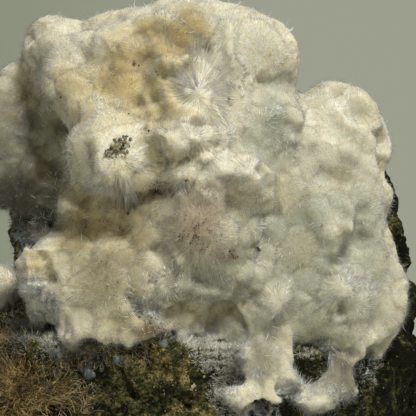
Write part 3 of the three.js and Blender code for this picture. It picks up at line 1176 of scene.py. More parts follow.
@dataclass
class NeedleField:
    """The needles that grow from one surface."""

    name: str
    surface: Surface
    open_share: Array
    bursts: Bursts
    rock: Surface
    count: int
    seed: int
    thickness: float = 0.042 * MM
    # How much darker the needles are at their roots: painted shade, with the okenite's amber tone in the main
    # sprays.
    shade_within: float = 0.92
    amber_shaded_base: Colour = (1.0, 0.94, 0.74)
    sunk: float = 0.22 * MM
    scatter: float = 0.26
    lift: float = 0.16
    clump: float = 0.5 * MM
    pull: float = 0.22
    hem: float = 3 * MM
    strays: float = 0.006
    glint_strays: float = 0.2
    foremost: float = -23.3 * MM
    brightest: float = 0.97

    def grow(self, colours: StainAndShadeMap) -> tuple[Array, ...]:
        """Works out every needle.

        Args:
            colours: The okenite's colours.

        Returns:
            The bases, tips, radii, colours at base and tip, and which way the surface faces.
        """
        dice = np.random.default_rng(self.seed)
        owner = self.bursts.nearest(self.surface.centres)
        to_front = 0.75 - 0.35 * self.surface.facing[:, 1]
        weights = self.open_share * np.minimum(self.bursts.crowds[owner], 1.0) * to_front
        weights *= np.clip(1.8 * MM / self.bursts.lengths[owner], 0.6, 1)
        weights *= 1 + 1.5 * self._at_hem(self.surface.centres)
        roots, outward = self.surface.strewn(self.count, weights, dice)
        at_hem = self._at_hem(roots)
        owner = self.bursts.nearest(roots)
        crowds = self.bursts.crowds[owner]
        radial = unit(roots - self.bursts.hearts[owner])
        glinting = nearness(roots, self.surface, GLINTS)
        stray = dice.random(len(roots)) < self.strays + self.glint_strays * glinting
        main = crowds > 1.1
        spread = (self.scatter * np.where(main, 0.5, 1.0) * np.where(stray, 2.0, 1.0) * (1 + at_hem))[:, None]
        lean = unit(radial + spread * unit(dice.normal(size=roots.shape)) + 0.06 * outward)
        rise = (lean * outward).sum(axis=1)
        lean = unit(lean + outward * np.maximum(self.lift - rise, 0)[:, None])
        wave = 1 + 0.3 * layered_noise(roots, 3 * MM, 71)
        lengths = self.bursts.lengths[owner] * (0.3 + 0.8 * dice.random(len(roots)) ** 1.6) * wave
        lengths *= (1 + 0.7 * at_hem) * np.clip(1 + (radial * self.bursts.sweeps[owner]).sum(axis=1), 0.3, 2)
        calm = nearness(roots, self.surface, CALM)
        lengths *= 1 - 0.25 * calm
        lengths = np.where(stray, dice.uniform(0.8, 1.9, len(roots)) * MM, lengths)
        tips = self._drawn_together(roots + lean * lengths[:, None], lengths, dice)
        tips[:, 1] = np.maximum(tips[:, 1], self.foremost)
        radii = self.thickness * dice.uniform(0.6, 1.35, len(roots)) * (0.8 + 0.2 * lengths / MM)
        radii *= np.where(stray, 1.5 + 0.7 * glinting, 1.0)
        ground = colours.colours(roots)
        # Main sprays are whitened towards the glow colour, partly their own whiteness and partly painted light
        # against their self-shading. Stray needles are whitened and brightened fully as painted glints.
        whiten = np.where(stray, 1.0, 0.75 * ramp(crowds, 1.1, 1.5))
        ground = ground + (np.array(GLOW) - ground) * whiten[:, None]
        bright = np.where(stray, 1.1, dice.uniform(0.84, 1.14, len(roots)))[:, None]
        cover = np.where(stray, 1.0, np.where(main, 0.42, 0.45 - 0.18 * calm))[:, None]
        # Needle bases are darker than their tips: painted shade among the crowded roots.
        within = np.where(main[:, None], self.amber_shaded_base, self.shade_within)
        base_tint = np.hstack([np.clip(ground * bright * within, 0, self.brightest), cover])
        # Tips are lightened towards the glow colour: painted glow of light through the needles.
        glow = (0.08 + 0.24 * ramp(ground.mean(axis=1), 0.1, 0.5))[:, None]
        glowing = (ground + (np.array(GLOW) - ground) * glow) * bright
        tip_tint = np.hstack([np.clip(glowing, 0, self.brightest), cover])
        return roots - outward * self.sunk, tips, radii, base_tint, tip_tint, outward

    def _at_hem(self, places: Array) -> Array:
        """How far each place is in the hem of the okenite, along the rock."""
        return 1 - ramp(self.rock.distance_from(places, self.hem), 0.3 * self.hem, self.hem)

    def _drawn_together(self, tips: Array, lengths: Array, dice: Dice) -> Array:
        """Draws the tips of neighbouring needles together into fine tufts.

        Args:
            tips: Where the tips are, as an (n, 3) array.
            lengths: How long the needles are.
            dice: The source of randomness.

        Returns:
            Where the tips go.
        """
        cells, shift = cells_at(tips, self.clump, 90)
        gather = (cells + 0.2 + 0.6 * shift) * self.clump
        pull = dice.uniform(0.0, self.pull, len(tips))[:, None]
        return tips + (gather - tips) * pull * np.minimum(1, lengths / MM)[:, None]

    def build(self, colours: StainAndShadeMap, material: Material, parts: tuple[str, ...]) -> None:
        """Makes the needles, shared out over as many pieces as there are names.

        Args:
            colours: The okenite's colours.
            material: What the needles are dressed in.
            parts: The names of the pieces: one, or four for lower and upper, left and right.
        """
        arrays = self.grow(colours)
        shares = [np.arange(self.count)]
        for axis in (2, 0)[: int(math.log2(len(parts)))]:
            shares = [half for share in shares for half in self._halves(share, arrays[0][:, axis])]
        for part, share in zip(parts, shares):
            mesh = needle_mesh(f"{self.name}_{part}", *[array[share] for array in arrays])
            finished(mesh, material, Slot.OKENITE)

    @staticmethod
    def _halves(share: Array, along: Array) -> list[Array]:
        """Splits needles into two equal halves by where they are along an axis."""
        ordered = share[np.argsort(along[share], kind="stable")]
        return [ordered[: len(ordered) // 2], ordered[len(ordered) // 2 :]]


@dataclass(frozen=True)
class Fan:
    """Silky needles that lie along the surface and spread like a feather from a heart.

    They point between two directions, in degrees anticlockwise from the right as the camera sees them.
    """

    at: Spot
    turn: Spot
    length: Spot
    count: int
    base: Colour
    tip: Colour


STRAW: Colour = (0.90, 0.82, 0.58)
PEARL: Colour = (0.95, 0.94, 0.82)

# Where each fan's heart is, its two directions, its shortest and longest needle in millimetres, how many
# needles it has, and their colours at the base and at the tip.
FANS = tuple(Fan(*row) for row in (
    ((1, 27.8), (168, 225), (3, 8.5), 220, HONEY, STRAW),
    ((-1.4, 18.4), (95, 192), (3.5, 8.6), 200, PEARL, STRAW),
    ((-1.4, 18.4), (-12, 62), (3, 7), 90, PEARL, PEARL),
    ((-1.4, 18), (272, 318), (2.5, 6), 60, PEARL, PEARL), ((-1.8, 12), (-32, 30), (2, 5), 50, PEARL, PEARL),
    ((-1.8, 12), (185, 240), (2, 5.5), 50, PEARL, STRAW),
    ((-6.4, 31.8), (225, 290), (2.5, 6.5), 90, HONEY, STRAW),
    ((-21.6, 28), (255, 320), (3, 6), 60, CREAM, STRAW),
    ((-14.2, 7.6), (245, 350), (3, 7), 150, HONEY, PEARL),
    ((-6.6, 1), (35, 135), (1.2, 3.2), 60, PEARL, PEARL),
    ((-10.6, -12), (-40, 25), (3, 7), 90, CREAM, PEARL),
    ((21.4, -12.8), (-15, 75), (2, 5), 80, PEARL, PEARL),
    ((5.4, -27), (195, 290), (2, 4.4), 160, CREAM, PEARL),
    ((17.8, -26), (200, 330), (2, 4.6), 140, PEARL, PEARL),
    ((8, -24), (215, 300), (2, 6), 120, PEARL, PEARL), ((19.6, -22), (235, 330), (2.5, 6), 80, PEARL, PEARL),
))


@dataclass
class FanField:
    """All the fans of one surface."""

    name: str
    surface: Surface
    seed: int
    thickness: float = 0.038 * MM
    proud: float = 0.2 * MM
    sunk: float = 0.1
    cover: float = 0.5
    brightest: float = 0.97

    def build(self, fans: tuple[Fan, ...], material: Material) -> None:
        """Makes the needles of the fans.

        Args:
            fans: The fans.
            material: What the needles are dressed in.
        """
        dice = np.random.default_rng(self.seed)
        needles = []
        for fan in fans:
            for _ in range(fan.count):
                turn = math.radians(dice.uniform(*fan.turn))
                reach = dice.uniform(*fan.length)
                across, above = math.cos(turn), math.sin(turn)
                start, end = (
                    self.surface.sighted((fan.at[0] + away * across, fan.at[1] + away * above))
                    for away in (reach * dice.uniform(0.05, 0.55), reach)
                )
                if start is None or end is None or (end - start).length > 1.6 * reach * MM:
                    continue
                outward = self.surface.outward_at(end)
                tip = end + outward * self.proud * dice.uniform(0.3, 1.6)
                bright = dice.uniform(0.8, 1.05)
                base = start - outward * self.sunk * MM
                base_tint, tip_tint = np.minimum(np.array((fan.base, fan.tip)) * bright, self.brightest)
                needles.append((tuple(base), tuple(tip), base_tint, tip_tint, tuple(outward)))
        bases, tips, base_tints, tip_tints, facing = (np.array(part) for part in zip(*needles))
        cover = np.full((len(bases), 1), self.cover)
        radii = self.thickness * dice.uniform(0.6, 1.5, len(bases))
        tints = np.hstack([base_tints, cover]), np.hstack([tip_tints, cover])
        mesh = needle_mesh(self.name, bases, tips, radii, *tints, facing)
        finished(mesh, material, Slot.OKENITE)


# The pieces

# Where each stroke starts and ends, and its reach and lift in millimetres.
CLUSTER_STROKES = tuple(Stroke(*row) for row in (
    ((-28.8, 18), (-26.6, 8), 5, -2), ((-26.6, 8), (-27.2, -2), 5, -2),
    ((-27.7, -19.5), (-24.3, -19.8), 3.4, -1.7), ((-21.3, 23.4), (-12.8, 22.1), 5, -0.5),
    ((-10.4, 30.4), (-7, 25), 1.7, 0.5), ((-7.6, 25.6), (-6, 22.4), 2.4, 0.9),
    ((-8.6, 24.6), (-7.8, 21), 4, 1.4), ((-12.4, 25), (-12, 18.6), 4.4, 1.3),
    ((-6.6, 20.6), (-5.6, 17.6), 3.4, 1.2), ((-2.9, 23.2), (-2.9, 23.2), 1.6, 0.8),
    ((-0.1, 25.8), (0.2, 24.3), 1, -2), ((3, 29.4), (3.6, 23), 1.6, 1), ((-17.6, 26.4), (-8, 30), 2.4, 0.8),
    ((-9.6, 17.8), (-5.8, 21.8), 1.6, 1), ((-5.8, 21.8), (-1.8, 23.7), 1.6, 1.2),
    ((-1.6, 18.6), (-1.6, 18.6), 3.2, 0.9), ((-7, 12), (-4.5, 9.5), 3.4, 1.4),
    ((-7, 14.6), (-4.6, 13.4), 4.6, 2), ((-5.6, 12), (-1.4, 10.8), 3.4, 1.1),
    ((-8.4, 10.4), (-7.4, 6.8), 4.2, 1.7), ((4.6, 3), (8.4, 1), 3.2, 1.3),
    ((-21.5, 15.6), (-18, 16.4), 3, 1.2), ((-16.4, 5), (-11, 5.2), 4.4, 2),
    ((-1, 14.8), (1.4, 12.6), 4, 1.8), ((-14.4, 9.9), (-14.4, 9.9), 1.3, -0.8),
    ((-16.8, 6.1), (-16.8, 2.9), 0.9, -0.9), ((-14.6, 5.8), (-14.7, 2.9), 1, -1),
    ((-19.7, 1.6), (-13.3, 1.1), 2, -1.7), ((-13.3, 1.1), (-9.3, 2.4), 2, -1.7),
    ((-19.5, 9.6), (-18.9, 6.4), 2, -0.8), ((-23.7, 3.7), (-20.5, 1.3), 2.2, -1.6),
    ((-9.3, 3.2), (-4.5, 3), 1.6, -1.8), ((-0.6, 6.6), (5.6, 5.6), 4.6, 2.6), ((-4, 10), (1, 9.6), 4, 1.8),
    ((-1.5, 5.4), (5.5, 4.6), 3.2, 1.4), ((-4, 2.6), (6.4, 2.4), 2.8, 1.6),
    ((-6.4, 8.8), (-5, 4.8), 3.4, 2.6), ((2, -29.4), (5.6, -31), 3, 1.8), ((5.9, 7.7), (8.6, 5), 1.9, 1.2),
    ((8.6, 5), (9.3, 0), 1.9, 1.2), ((10.6, 3.4), (10.6, -1.1), 1.8, -1.4),
    ((10.6, -1.1), (8.6, -8.6), 1.8, -1.5), ((-3.7, -15.7), (1.1, -18.2), 4, -1.6),
    ((1.1, -18.2), (6.7, -15), 4, -1.6), ((3, -20.4), (3, -20.4), 6, -3.4),
    ((1, -25.8), (4.6, -27.2), 1.5, -2.6), ((-7.2, -17.9), (-4.2, -16.6), 1.2, -1.5),
    ((-1.3, -9), (5.1, -11), 2.4, 0.6), ((-5.6, -8.6), (-3.6, -10.6), 2, 0.8),
    ((7.8, -6.2), (7.8, -6.2), 0.8, -1.2), ((-25.3, -2.6), (-14.1, -3.4), 3.4, -2),
    ((-22.9, -0.3), (-17.8, 0.3), 1.6, 0.7), ((-8.3, -6.9), (-6.7, -8.6), 1.6, -1),
    ((-4.5, -12.6), (2.2, -14.7), 1.6, 0.9), ((-12.3, -14.7), (-10.9, -16.5), 1.4, -1.2),
    ((-9.8, -15.8), (-6.4, -17), 1.8, -1), ((-30.1, -9), (-28.5, -7.2), 1.1, 0.9),
    ((-28.5, -7.2), (-25, -7), 1.1, 0.9), ((-27.5, -10.7), (-25, -11.4), 1.9, -0.8),
    ((-28.8, -8.6), (-28.4, -10.4), 1, 0.8), ((-26.6, -7.8), (-26.2, -9.6), 0.9, -0.9),
    ((-24.8, -7.8), (-24.2, -10), 1, 0.7), ((-29.6, -12.4), (-28.4, -13.4), 1.1, 0.8),
    ((-23.7, -8.6), (-23.4, -19.5), 1.6, 0.5), ((-25.9, -14.4), (-25.3, -21.1), 2.6, -0.4),
    ((14.1, 20), (8.6, 19.8), 1.4, -0.6), ((8.6, 19.8), (5.1, 17.6), 1.4, -0.6),
    ((7, 17), (12.9, 15), 3.6, 1.8), ((7.4, 13.2), (13.2, 11.4), 5, 1.6),
    ((22.4, 15.4), (23.6, 14.2), 3.2, 1.2), ((16.5, 10.7), (21.9, 8.8), 1.6, 0.6),
    ((21.9, 8.8), (28, 4.8), 1.6, 0.6), ((18.4, 5.6), (21.8, 4.6), 2.2, -0.9),
    ((17, 1.6), (19, -3.6), 3.4, 1), ((22.4, 0), (22, -3.6), 1.6, 1.5), ((22, -3.6), (19.8, -6.9), 1.6, 1.3),
    ((24.9, -1), (24.2, -5), 2.6, -1.1), ((24.2, -5), (21.6, -8.4), 2.2, -0.9),
    ((28.6, 11), (28.6, 5.4), 2.6, -2.6), ((21.6, -13.1), (21.6, -13.1), 3, 0.9),
    ((21.4, -15.4), (21.2, -17.2), 1.1, -1.6), ((27.8, -12.3), (26.9, -18.7), 2.2, -0.8),
    ((12.2, -12.8), (9.6, -17.9), 1.9, 1.5), ((12.3, -20.3), (13.1, -23.7), 1.6, 0.8),
    ((19.5, -23.2), (23.7, -23.2), 0.9, -1), ((25.3, -21.8), (26.2, -22.7), 1.3, -0.9),
    ((12.2, -29), (14.4, -29.4), 1.8, -1.7), ((12.2, 10.6), (11.7, 6.7), 0.9, 0.7),
    ((-21.1, 29.4), (-15.4, 30.7), 3, -1.6), ((-29.1, 27.2), (-27.8, 28.8), 2.5, -1.2),
    ((12.5, 28.8), (13.8, 26.6), 2.6, -1.4), ((21.9, 18.9), (24.6, 15.4), 3.5, -2),
    ((24.6, 15.4), (26.4, 13.6), 3, -1), ((28.8, 3.8), (29.4, -3.2), 3, -0.8),
    ((8.6, -34), (19.5, -33.4), 2.9, -4.5), ((20.8, -32.6), (26.8, -28.8), 3, -4.5),
    ((24.8, -27), (27.6, -23.6), 2.4, -3), ((26.2, -28.3), (29.4, -23), 2.6, -3.5),
    ((29.8, -2.7), (31, -12.3), 3.5, -1.6), ((-23, -19.4), (-13, -19.6), 3.4, 2.4),
    ((-20.2, -18.4), (-17.2, -18.6), 2.6, 2.6), ((-10, -19), (-7, -18.4), 2.4, 1.6),
    ((-6, -19), (-0.8, -20.4), 2.8, 1.9),
))

BASALT_STROKES = tuple(Stroke(*row) for row in (
    ((28, 12.6), (29, 6), 3.2, 2.6), ((29.2, -3), (30.6, -9), 3.6, 2.2), ((31, -10), (32.6, -16), 3.6, 2),
    ((32.6, -28), (32.8, -33), 5, -1.8), ((-5.6, -29.9), (-3, -31.8), 0.9, -1.4),
    ((-3.7, -28.2), (-1.3, -29.6), 2.2, 1), ((-10.9, -20.2), (-9.3, -25.6), 0.9, -1.2),
    ((-7.5, -22), (-4, -25.5), 2.6, 0.9), ((-14, -26), (-12, -30), 1.2, -1.2),
    ((1, -30.5), (3.5, -33), 2, 0.9),
))


@dataclass
class OkeniteCluster:
    """The felted mass of puffballs that carries the needles."""

    node: Object
    first_voxel: float = 0.5 * MM
    first_smoothing: int = 20
    fill: float = 0.7
    fill_passes: int = 3
    fill_smoothing: int = 160
    calming: float = 0.8
    calm_smoothing: int = 120
    boldness: float = 1.15
    voxel: float = 0.43 * MM
    lumps: float = 0.24 * MM
    felt: float = 0.1 * MM
    tufts: float = 0.22 * MM
    creases: float = 0.16 * MM
    rags: float = 1.1 * MM
    crease_width: float = 0.35 * MM
    # The felt is tinted darker than its needles so that the gaps between them read as shade: painted shade.
    shade: Colour = (0.88, 0.875, 0.785)
    needles: int = 165_000

    def build(self, basalt: Surface) -> None:
        """Makes the mass and its needles.

        Args:
            basalt: The surface of the basalt.
        """
        mesh = even_mesh(shell_of(self.node, "okenite_mass"), self.first_voxel, self.first_smoothing)
        for _ in range(self.fill_passes):
            raise_by(mesh, np.clip(hollowness(mesh, self.fill_smoothing), 0, 2 * MM) * self.fill)
        points = corners_of(mesh)
        calm = self.calming * nearness(points, Surface(mesh), CALM)[:, None]
        calmest = corners_of(even_mesh(mesh.copy(), 0, self.calm_smoothing))
        set_corners(mesh, points + (calmest - points) * calm)
        sculpted(mesh, CLUSTER_STROKES, self.boldness)
        mesh = even_mesh(mesh, self.voxel, 2)
        surface = Surface(mesh)
        bursts = Bursts(surface, surface.open_to_air(basalt), MAIN_BURSTS, seed=5)
        self._roughen(mesh, bursts, basalt, nearness(surface.points, surface, CALM))
        hollow = hollowness(mesh, 14)
        surface = Surface(mesh)
        colours = StainAndShadeMap(surface)
        tint = colours.colours(surface.points) * np.array(self.shade)
        owner, _, to_crease = bursts.around(surface.points)
        # Creases between bursts and hollows are darkened towards the hollow colour: painted shade.
        painted_hollow_shade = 0.3 * np.exp(-to_crease / self.crease_width) + 0.8 * ramp(hollow, 0.06 * MM, 0.45 * MM)
        tint *= 1 - (1 - np.array(colours.hollow_shade)) * np.minimum(painted_hollow_shade, 1)[:, None]
        set_tint(mesh, tint)
        set_tint(mesh, bursts.hearts[owner], "heart")
        finished(mesh, FeltFinish().build(), Slot.OKENITE, Node.CLUSTER)
        silk = NeedleFinish().build()
        open_share = surface.open_to_air(basalt)
        needles = NeedleField("needles", surface, open_share, bursts, basalt, self.needles, seed=7)
        needles.build(colours, silk, ("lower_left", "lower_right", "upper_left", "upper_right"))
        FanField("needle_fans", surface, seed=9).build(FANS, silk)
        self.surface = surface
        self.colours = colours

    def _roughen(self, mesh: Mesh, bursts: Bursts, basalt: Surface, calm: Array) -> None:
        """Gives the mass its lumps, its ragged rim, and the ridges of felt that radiate from the hearts.

        Args:
            mesh: The mass.
            bursts: Its bursts.
            basalt: The surface of the basalt.
            calm: How calm it is at each corner.
        """
        points = corners_of(mesh)
        relief = self.lumps * layered_noise(points, 4 * MM, 3)
        relief += self.felt * layered_noise(points, 0.8 * MM, 9, layers=2)
        owner, share, to_crease = bursts.around(points)
        ray = unit(points - bursts.hearts[owner])
        relief += self.tufts * layered_noise(ray + owner[:, None] * 7.7, 0.3, 29, layers=3, keep=0.6)
        swell = np.minimum(bursts.reaches[owner] * 0.06, 0.4 * MM)
        relief += swell * (0.6 - np.minimum(share, 1.2) ** 2)
        relief -= self.creases * np.exp(-to_crease / self.crease_width)
        relief *= 1 - 0.88 * calm
        at_rim = 1 - ramp(basalt.distance_from(points, 3 * MM), 0.8 * MM, 3 * MM)
        relief += at_rim * self.rags * (layered_noise(points, 1.8 * MM, 43, layers=3) - 0.15)
        raise_by(mesh, relief)


@dataclass
class Tuft:
    """The small fan of okenite on the left shoulder."""

    node: Object
    voxel: float = 0.3 * MM
    lumps: float = 0.25 * MM
    burst: Burst = Burst((-30.8, -12.2), 6.0, 0.5, 2.6, 1.5)
    # The felt is tinted darker than its needles so that the gaps between them read as shade: painted shade.
    shade: Colour = (0.95, 0.9, 0.8)
    needles: int = 3_500

    def build(self, basalt: Surface, colours: StainAndShadeMap) -> None:
        """Makes the fan and its needles.

        Args:
            basalt: The surface of the basalt.
            colours: The okenite's colours.
        """
        mesh = even_mesh(shell_of(self.node, "left_tuft"), self.voxel, 6)
        raise_by(mesh, self.lumps * layered_noise(corners_of(mesh), 1.8 * MM, 33, layers=3))
        surface = Surface(mesh)
        open_share = surface.open_to_air(basalt)
        bursts = Bursts(surface, open_share, (self.burst,), seed=15)
        set_tint(mesh, colours.colours(surface.points) * np.array(self.shade))
        set_tint(mesh, bursts.hearts[bursts.nearest(surface.points)], "heart")
        finished(mesh, bpy.data.materials[FeltFinish.name], Slot.OKENITE, Node.TUFT)
        needles = NeedleField("needles", surface, open_share, bursts, basalt, self.needles, seed=17)
        needles.build(colours, bpy.data.materials[NeedleFinish.name], ("left_tuft",))


@dataclass
class BasaltBlock:
    """The loose block of basalt."""

    node: Object
    voxel: float = 0.5 * MM
    hackles: float = 1.8 * MM
    crumble: float = 1.2 * MM

    def build(self) -> None:
        """Makes the block with a rough, fractured surface and a flat underside."""
        mesh = even_mesh(shell_of(self.node, "basalt_block"), self.voxel, 3)
        points = corners_of(mesh)
        steps = layered_noise(points, 4 * MM, 13, layers=3)
        steps = 0.7 * np.round(steps * 4) / 4 + 0.3 * steps
        pits = np.abs(layered_noise(points, 2.6 * MM, 19, keep=0.65))
        above_ground = ramp(points[:, 2], 0.3 * MM, 2.5 * MM)
        raise_by(mesh, (self.hackles * steps - self.crumble * pits) * above_ground)
        sculpted(mesh, BASALT_STROKES)
        settled = corners_of(mesh)
        settled[:, 2] = np.maximum(settled[:, 2], 0)
        set_corners(mesh, settled)
        self.mesh = mesh
        self.surface = Surface(mesh)

    def dress(self, okenite: Surface) -> None:
        """Colours the block: rust and druse gather where the okenite begins, and its hollows are marked for
        painted shade.

        Args:
            okenite: The surface of the cluster.
        """
        points = self.surface.points
        away = okenite.distance_from(points, 9 * MM)
        near = 1 - ramp(away + 1.5 * MM * layered_noise(points, 3 * MM, 53), 1.0 * MM, 7.5 * MM)
        left = 1 - ramp(points[:, 0], -24 * MM, -12 * MM)
        right = ramp(points[:, 0], 18 * MM, 25 * MM)
        rust = 0.25 + 0.5 * layered_noise(points, 9 * MM, 57) + 0.8 * near * left - 0.7 * right
        druse = near * (0.35 + 0.6 * layered_noise(points, 4 * MM, 59) + 0.5 * left) - 0.6 * right
        hollow = ramp(hollowness(self.mesh, 10), 0.05 * MM, 0.4 * MM)
        set_tint(self.mesh, np.stack([rust, np.clip(druse, 0, 1), hollow], axis=1))
        finished(self.mesh, BasaltFinish().build(), Slot.BASALT, Node.BASALT)


@dataclass(frozen=True)
class Speckles:
    """A group of small grains."""

    at: Spot
    spread: float
    count: int
    size: float
    colour: Colour
    proud: float = 0.25


RUST_RED: Colour = (0.14, 0.035, 0.015)
SOOT: Colour = (0.025, 0.016, 0.008)
ORANGE: Colour = (0.50, 0.17, 0.03)
OLIVE: Colour = (0.24, 0.21, 0.10)
BLUE_GREY: Colour = (0.085, 0.10, 0.09)
BUFF: Colour = (0.45, 0.40, 0.25)
OCHRE: Colour = (0.17, 0.135, 0.05)

# Where each group is, its spread, how many grains, their size, their colour and how proud they stand.
SPECKLES = tuple(Speckles(*row) for row in (
    ((-14.4, 9.9), 1.3, 80, 0.26, OLIVE, 0.8), ((-14, 9.6), 0.6, 8, 0.22, SOOT, 1),
    ((-14.4, 10), 0.8, 20, 0.2, BUFF, 0.9), ((-16, 8.8), 0.6, 12, 0.18, GREY_AND_PAINTED_SHADE),
    ((-23.4, 17.8), 0.1, 3, 0.17, RUST_RED), ((-11.8, 23.2), 0.18, 3, 0.17, RUST_RED),
    ((-11.2, 22.7), 0.1, 2, 0.14, SOOT), ((-8.2, 21.6), 0.12, 2, 0.16, SOOT),
    ((-12.8, 14.9), 0.1, 2, 0.18, SOOT), ((-10.4, 12.3), 0.5, 5, 0.1, RUST_RED),
    ((-9.3, 12.2), 0.1, 2, 0.14, SOOT), ((3, 17.4), 0.08, 2, 0.17, SOOT), ((-3.4, 4.5), 0.12, 2, 0.18, SOOT),
    ((-8.4, 3.4), 0.9, 12, 0.11, RUST_RED), ((-12.6, -0.8), 0.2, 5, 0.19, SOOT),
    ((-4, -4.4), 1, 9, 0.13, SOOT), ((-2, -4), 2.4, 64, 0.11, RUST_RED), ((0.8, -6.4), 1.8, 20, 0.11, UMBER),
    ((3.6, -7.2), 0.9, 12, 0.13, RUST_RED), ((0, 2.4), 1.2, 8, 0.09, RUST_RED),
    ((7.9, -6.3), 0.25, 5, 0.22, SOOT), ((18.3, -2.7), 0.1, 3, 0.18, ORANGE),
    ((-9, -12.4), 1.3, 16, 0.09, RUST_RED), ((-17, -9), 4, 34, 0.09, RUST_RED),
    ((-15, -14), 0.08, 1, 0.14, SOOT), ((-11, -17.6), 0.1, 2, 0.14, SOOT),
    ((-9, -19.4), 1.6, 40, 0.16, UMBER), ((-16, -1), 3.4, 22, 0.09, SOOT),
    ((-17.4, 13), 0.8, 5, 0.09, ORANGE), ((9.9, 24.6), 0.9, 8, 0.09, HONEY),
    ((22, -13), 3.4, 9, 0.08, RUST_RED), ((13, -4), 5, 16, 0.07, ORANGE), ((-4, 10), 9, 60, 0.06, RUST_RED),
))

BASALT_SPECKLES = tuple(Speckles(*row) for row in (
    ((-19.9, -22.6), 0.9, 5, 0.85, BLUE_GREY, -0.45), ((-19, -26.4), 0.5, 3, 0.8, BLUE_GREY, -0.45),
    ((-14.5, -23.8), 0.5, 3, 0.65, BLUE_GREY, -0.45), ((-16.9, -24.4), 2.6, 12, 0.35, BLUE_GREY, 0),
    ((-2.4, -28.6), 0.45, 6, 0.3, BUFF, 0), ((-7, -25), 5, 40, 0.14, OCHRE, 0),
    ((-4, -29), 4, 30, 0.16, OLIVE, 0), ((-14, -29), 4, 30, 0.16, SOOT, 0),
    ((-12, -24), 6, 40, 0.12, OCHRE, 0),
))


@dataclass
class LooseGrains:
    """Small, rugged mineral grains that sit on a surface."""

    name: str
    surface: Surface
    groups: tuple[Speckles, ...]
    slot: Slot
    seed: int
    ruggedness: float = 0.3

    def build(self, material: Material) -> None:
        """Makes the grains.

        Args:
            material: What they are dressed in.
        """
        dice = np.random.default_rng(self.seed)
        grains = []
        for group in self.groups:
            for _ in range(group.count):
                offset = dice.normal(size=2) * group.spread * 0.6
                place = self.surface.sighted((group.at[0] + offset[0], group.at[1] + offset[1]))
                if place is None:
                    continue
                size = group.size * dice.uniform(0.6, 1.3) * MM
                place = place + self.surface.outward_at(place) * (group.proud * MM + 0.3 * size)
                grains.append((tuple(place), size, np.array(group.colour) * dice.uniform(0.6, 1.4)))
        places, sizes, tints = (np.array(part) for part in zip(*grains))
        ball = Shape.pebble()
        points = ball.corners[None] * dice.uniform(0.65, 1.35, (len(places), 1, 3))
        uneven = smooth_noise((points + places[:, None] * 3000).reshape(-1, 3), 0.8, 5)
        points = points * (1 + self.ruggedness * uneven.reshape(len(places), -1, 1)) * sizes[:, None, None]
        tints = np.repeat(tints[:, None], len(ball.corners), axis=1)
        finished(ball.joined(self.name, points + places[:, None], tints), material, self.slot)


# Where the druse lies on the okenite and on the ledge: the spot, the reach in millimetres and the strength.
DRUSE_ZONES: tuple[tuple[Spot, float, float], ...] = (
    ((-27.6, -12.6), 1.6, 1.2), ((-24.8, -15.4), 1.2, 1.6), ((-27.6, -16.8), 1.2, 1.6),
    ((-25.6, -19.6), 2, 1.6), ((-29, -13), 1.4, 0.6), ((-11.2, -15.4), 1.2, 0.8), ((-8.8, -17), 1.4, 0.7),
    ((-1, -21.6), 1.6, 0.6), ((13.4, -29.4), 1.6, 1), ((18.6, -22.6), 1.6, 0.5), ((2.8, -29.6), 1.8, 0.35),
    ((20.4, -29.8), 1.8, 0.3),
)

LEDGE_ZONES: tuple[tuple[Spot, float, float], ...] = (
    ((1, -23), 2.6, 1), ((-3, -21.6), 1.8, 0.6), ((4, -25.6), 1.8, 0.6), ((3.6, -23.6), 1.6, 0.8),
    ((1.6, -29.4), 1.6, 0.7), ((3, -31.6), 1.6, 0.5), ((9, -31.4), 1.4, 0.5), ((15.8, -23.4), 1.2, 0.4),
    ((-25, -21), 1.6, 0.8),
)


def patches_on(surface: Surface, zones: tuple[tuple[Spot, float, float], ...]) -> Array:
    """How strongly each triangle of a surface lies in one of several soft round patches.

    Args:
        surface: The surface.
        zones: The spot, reach in millimetres and strength of each patch.

    Returns:
        One share for each triangle, zero outside the patches.
    """
    share = np.zeros(len(surface.centres))
    for at, reach, strength in zones:
        share += strength * nearness(surface.centres, surface, ((at, reach),))
    share *= ramp(-surface.facing[:, 1], -0.3, 0.2)
    share[share < 0.1] = 0
    return share


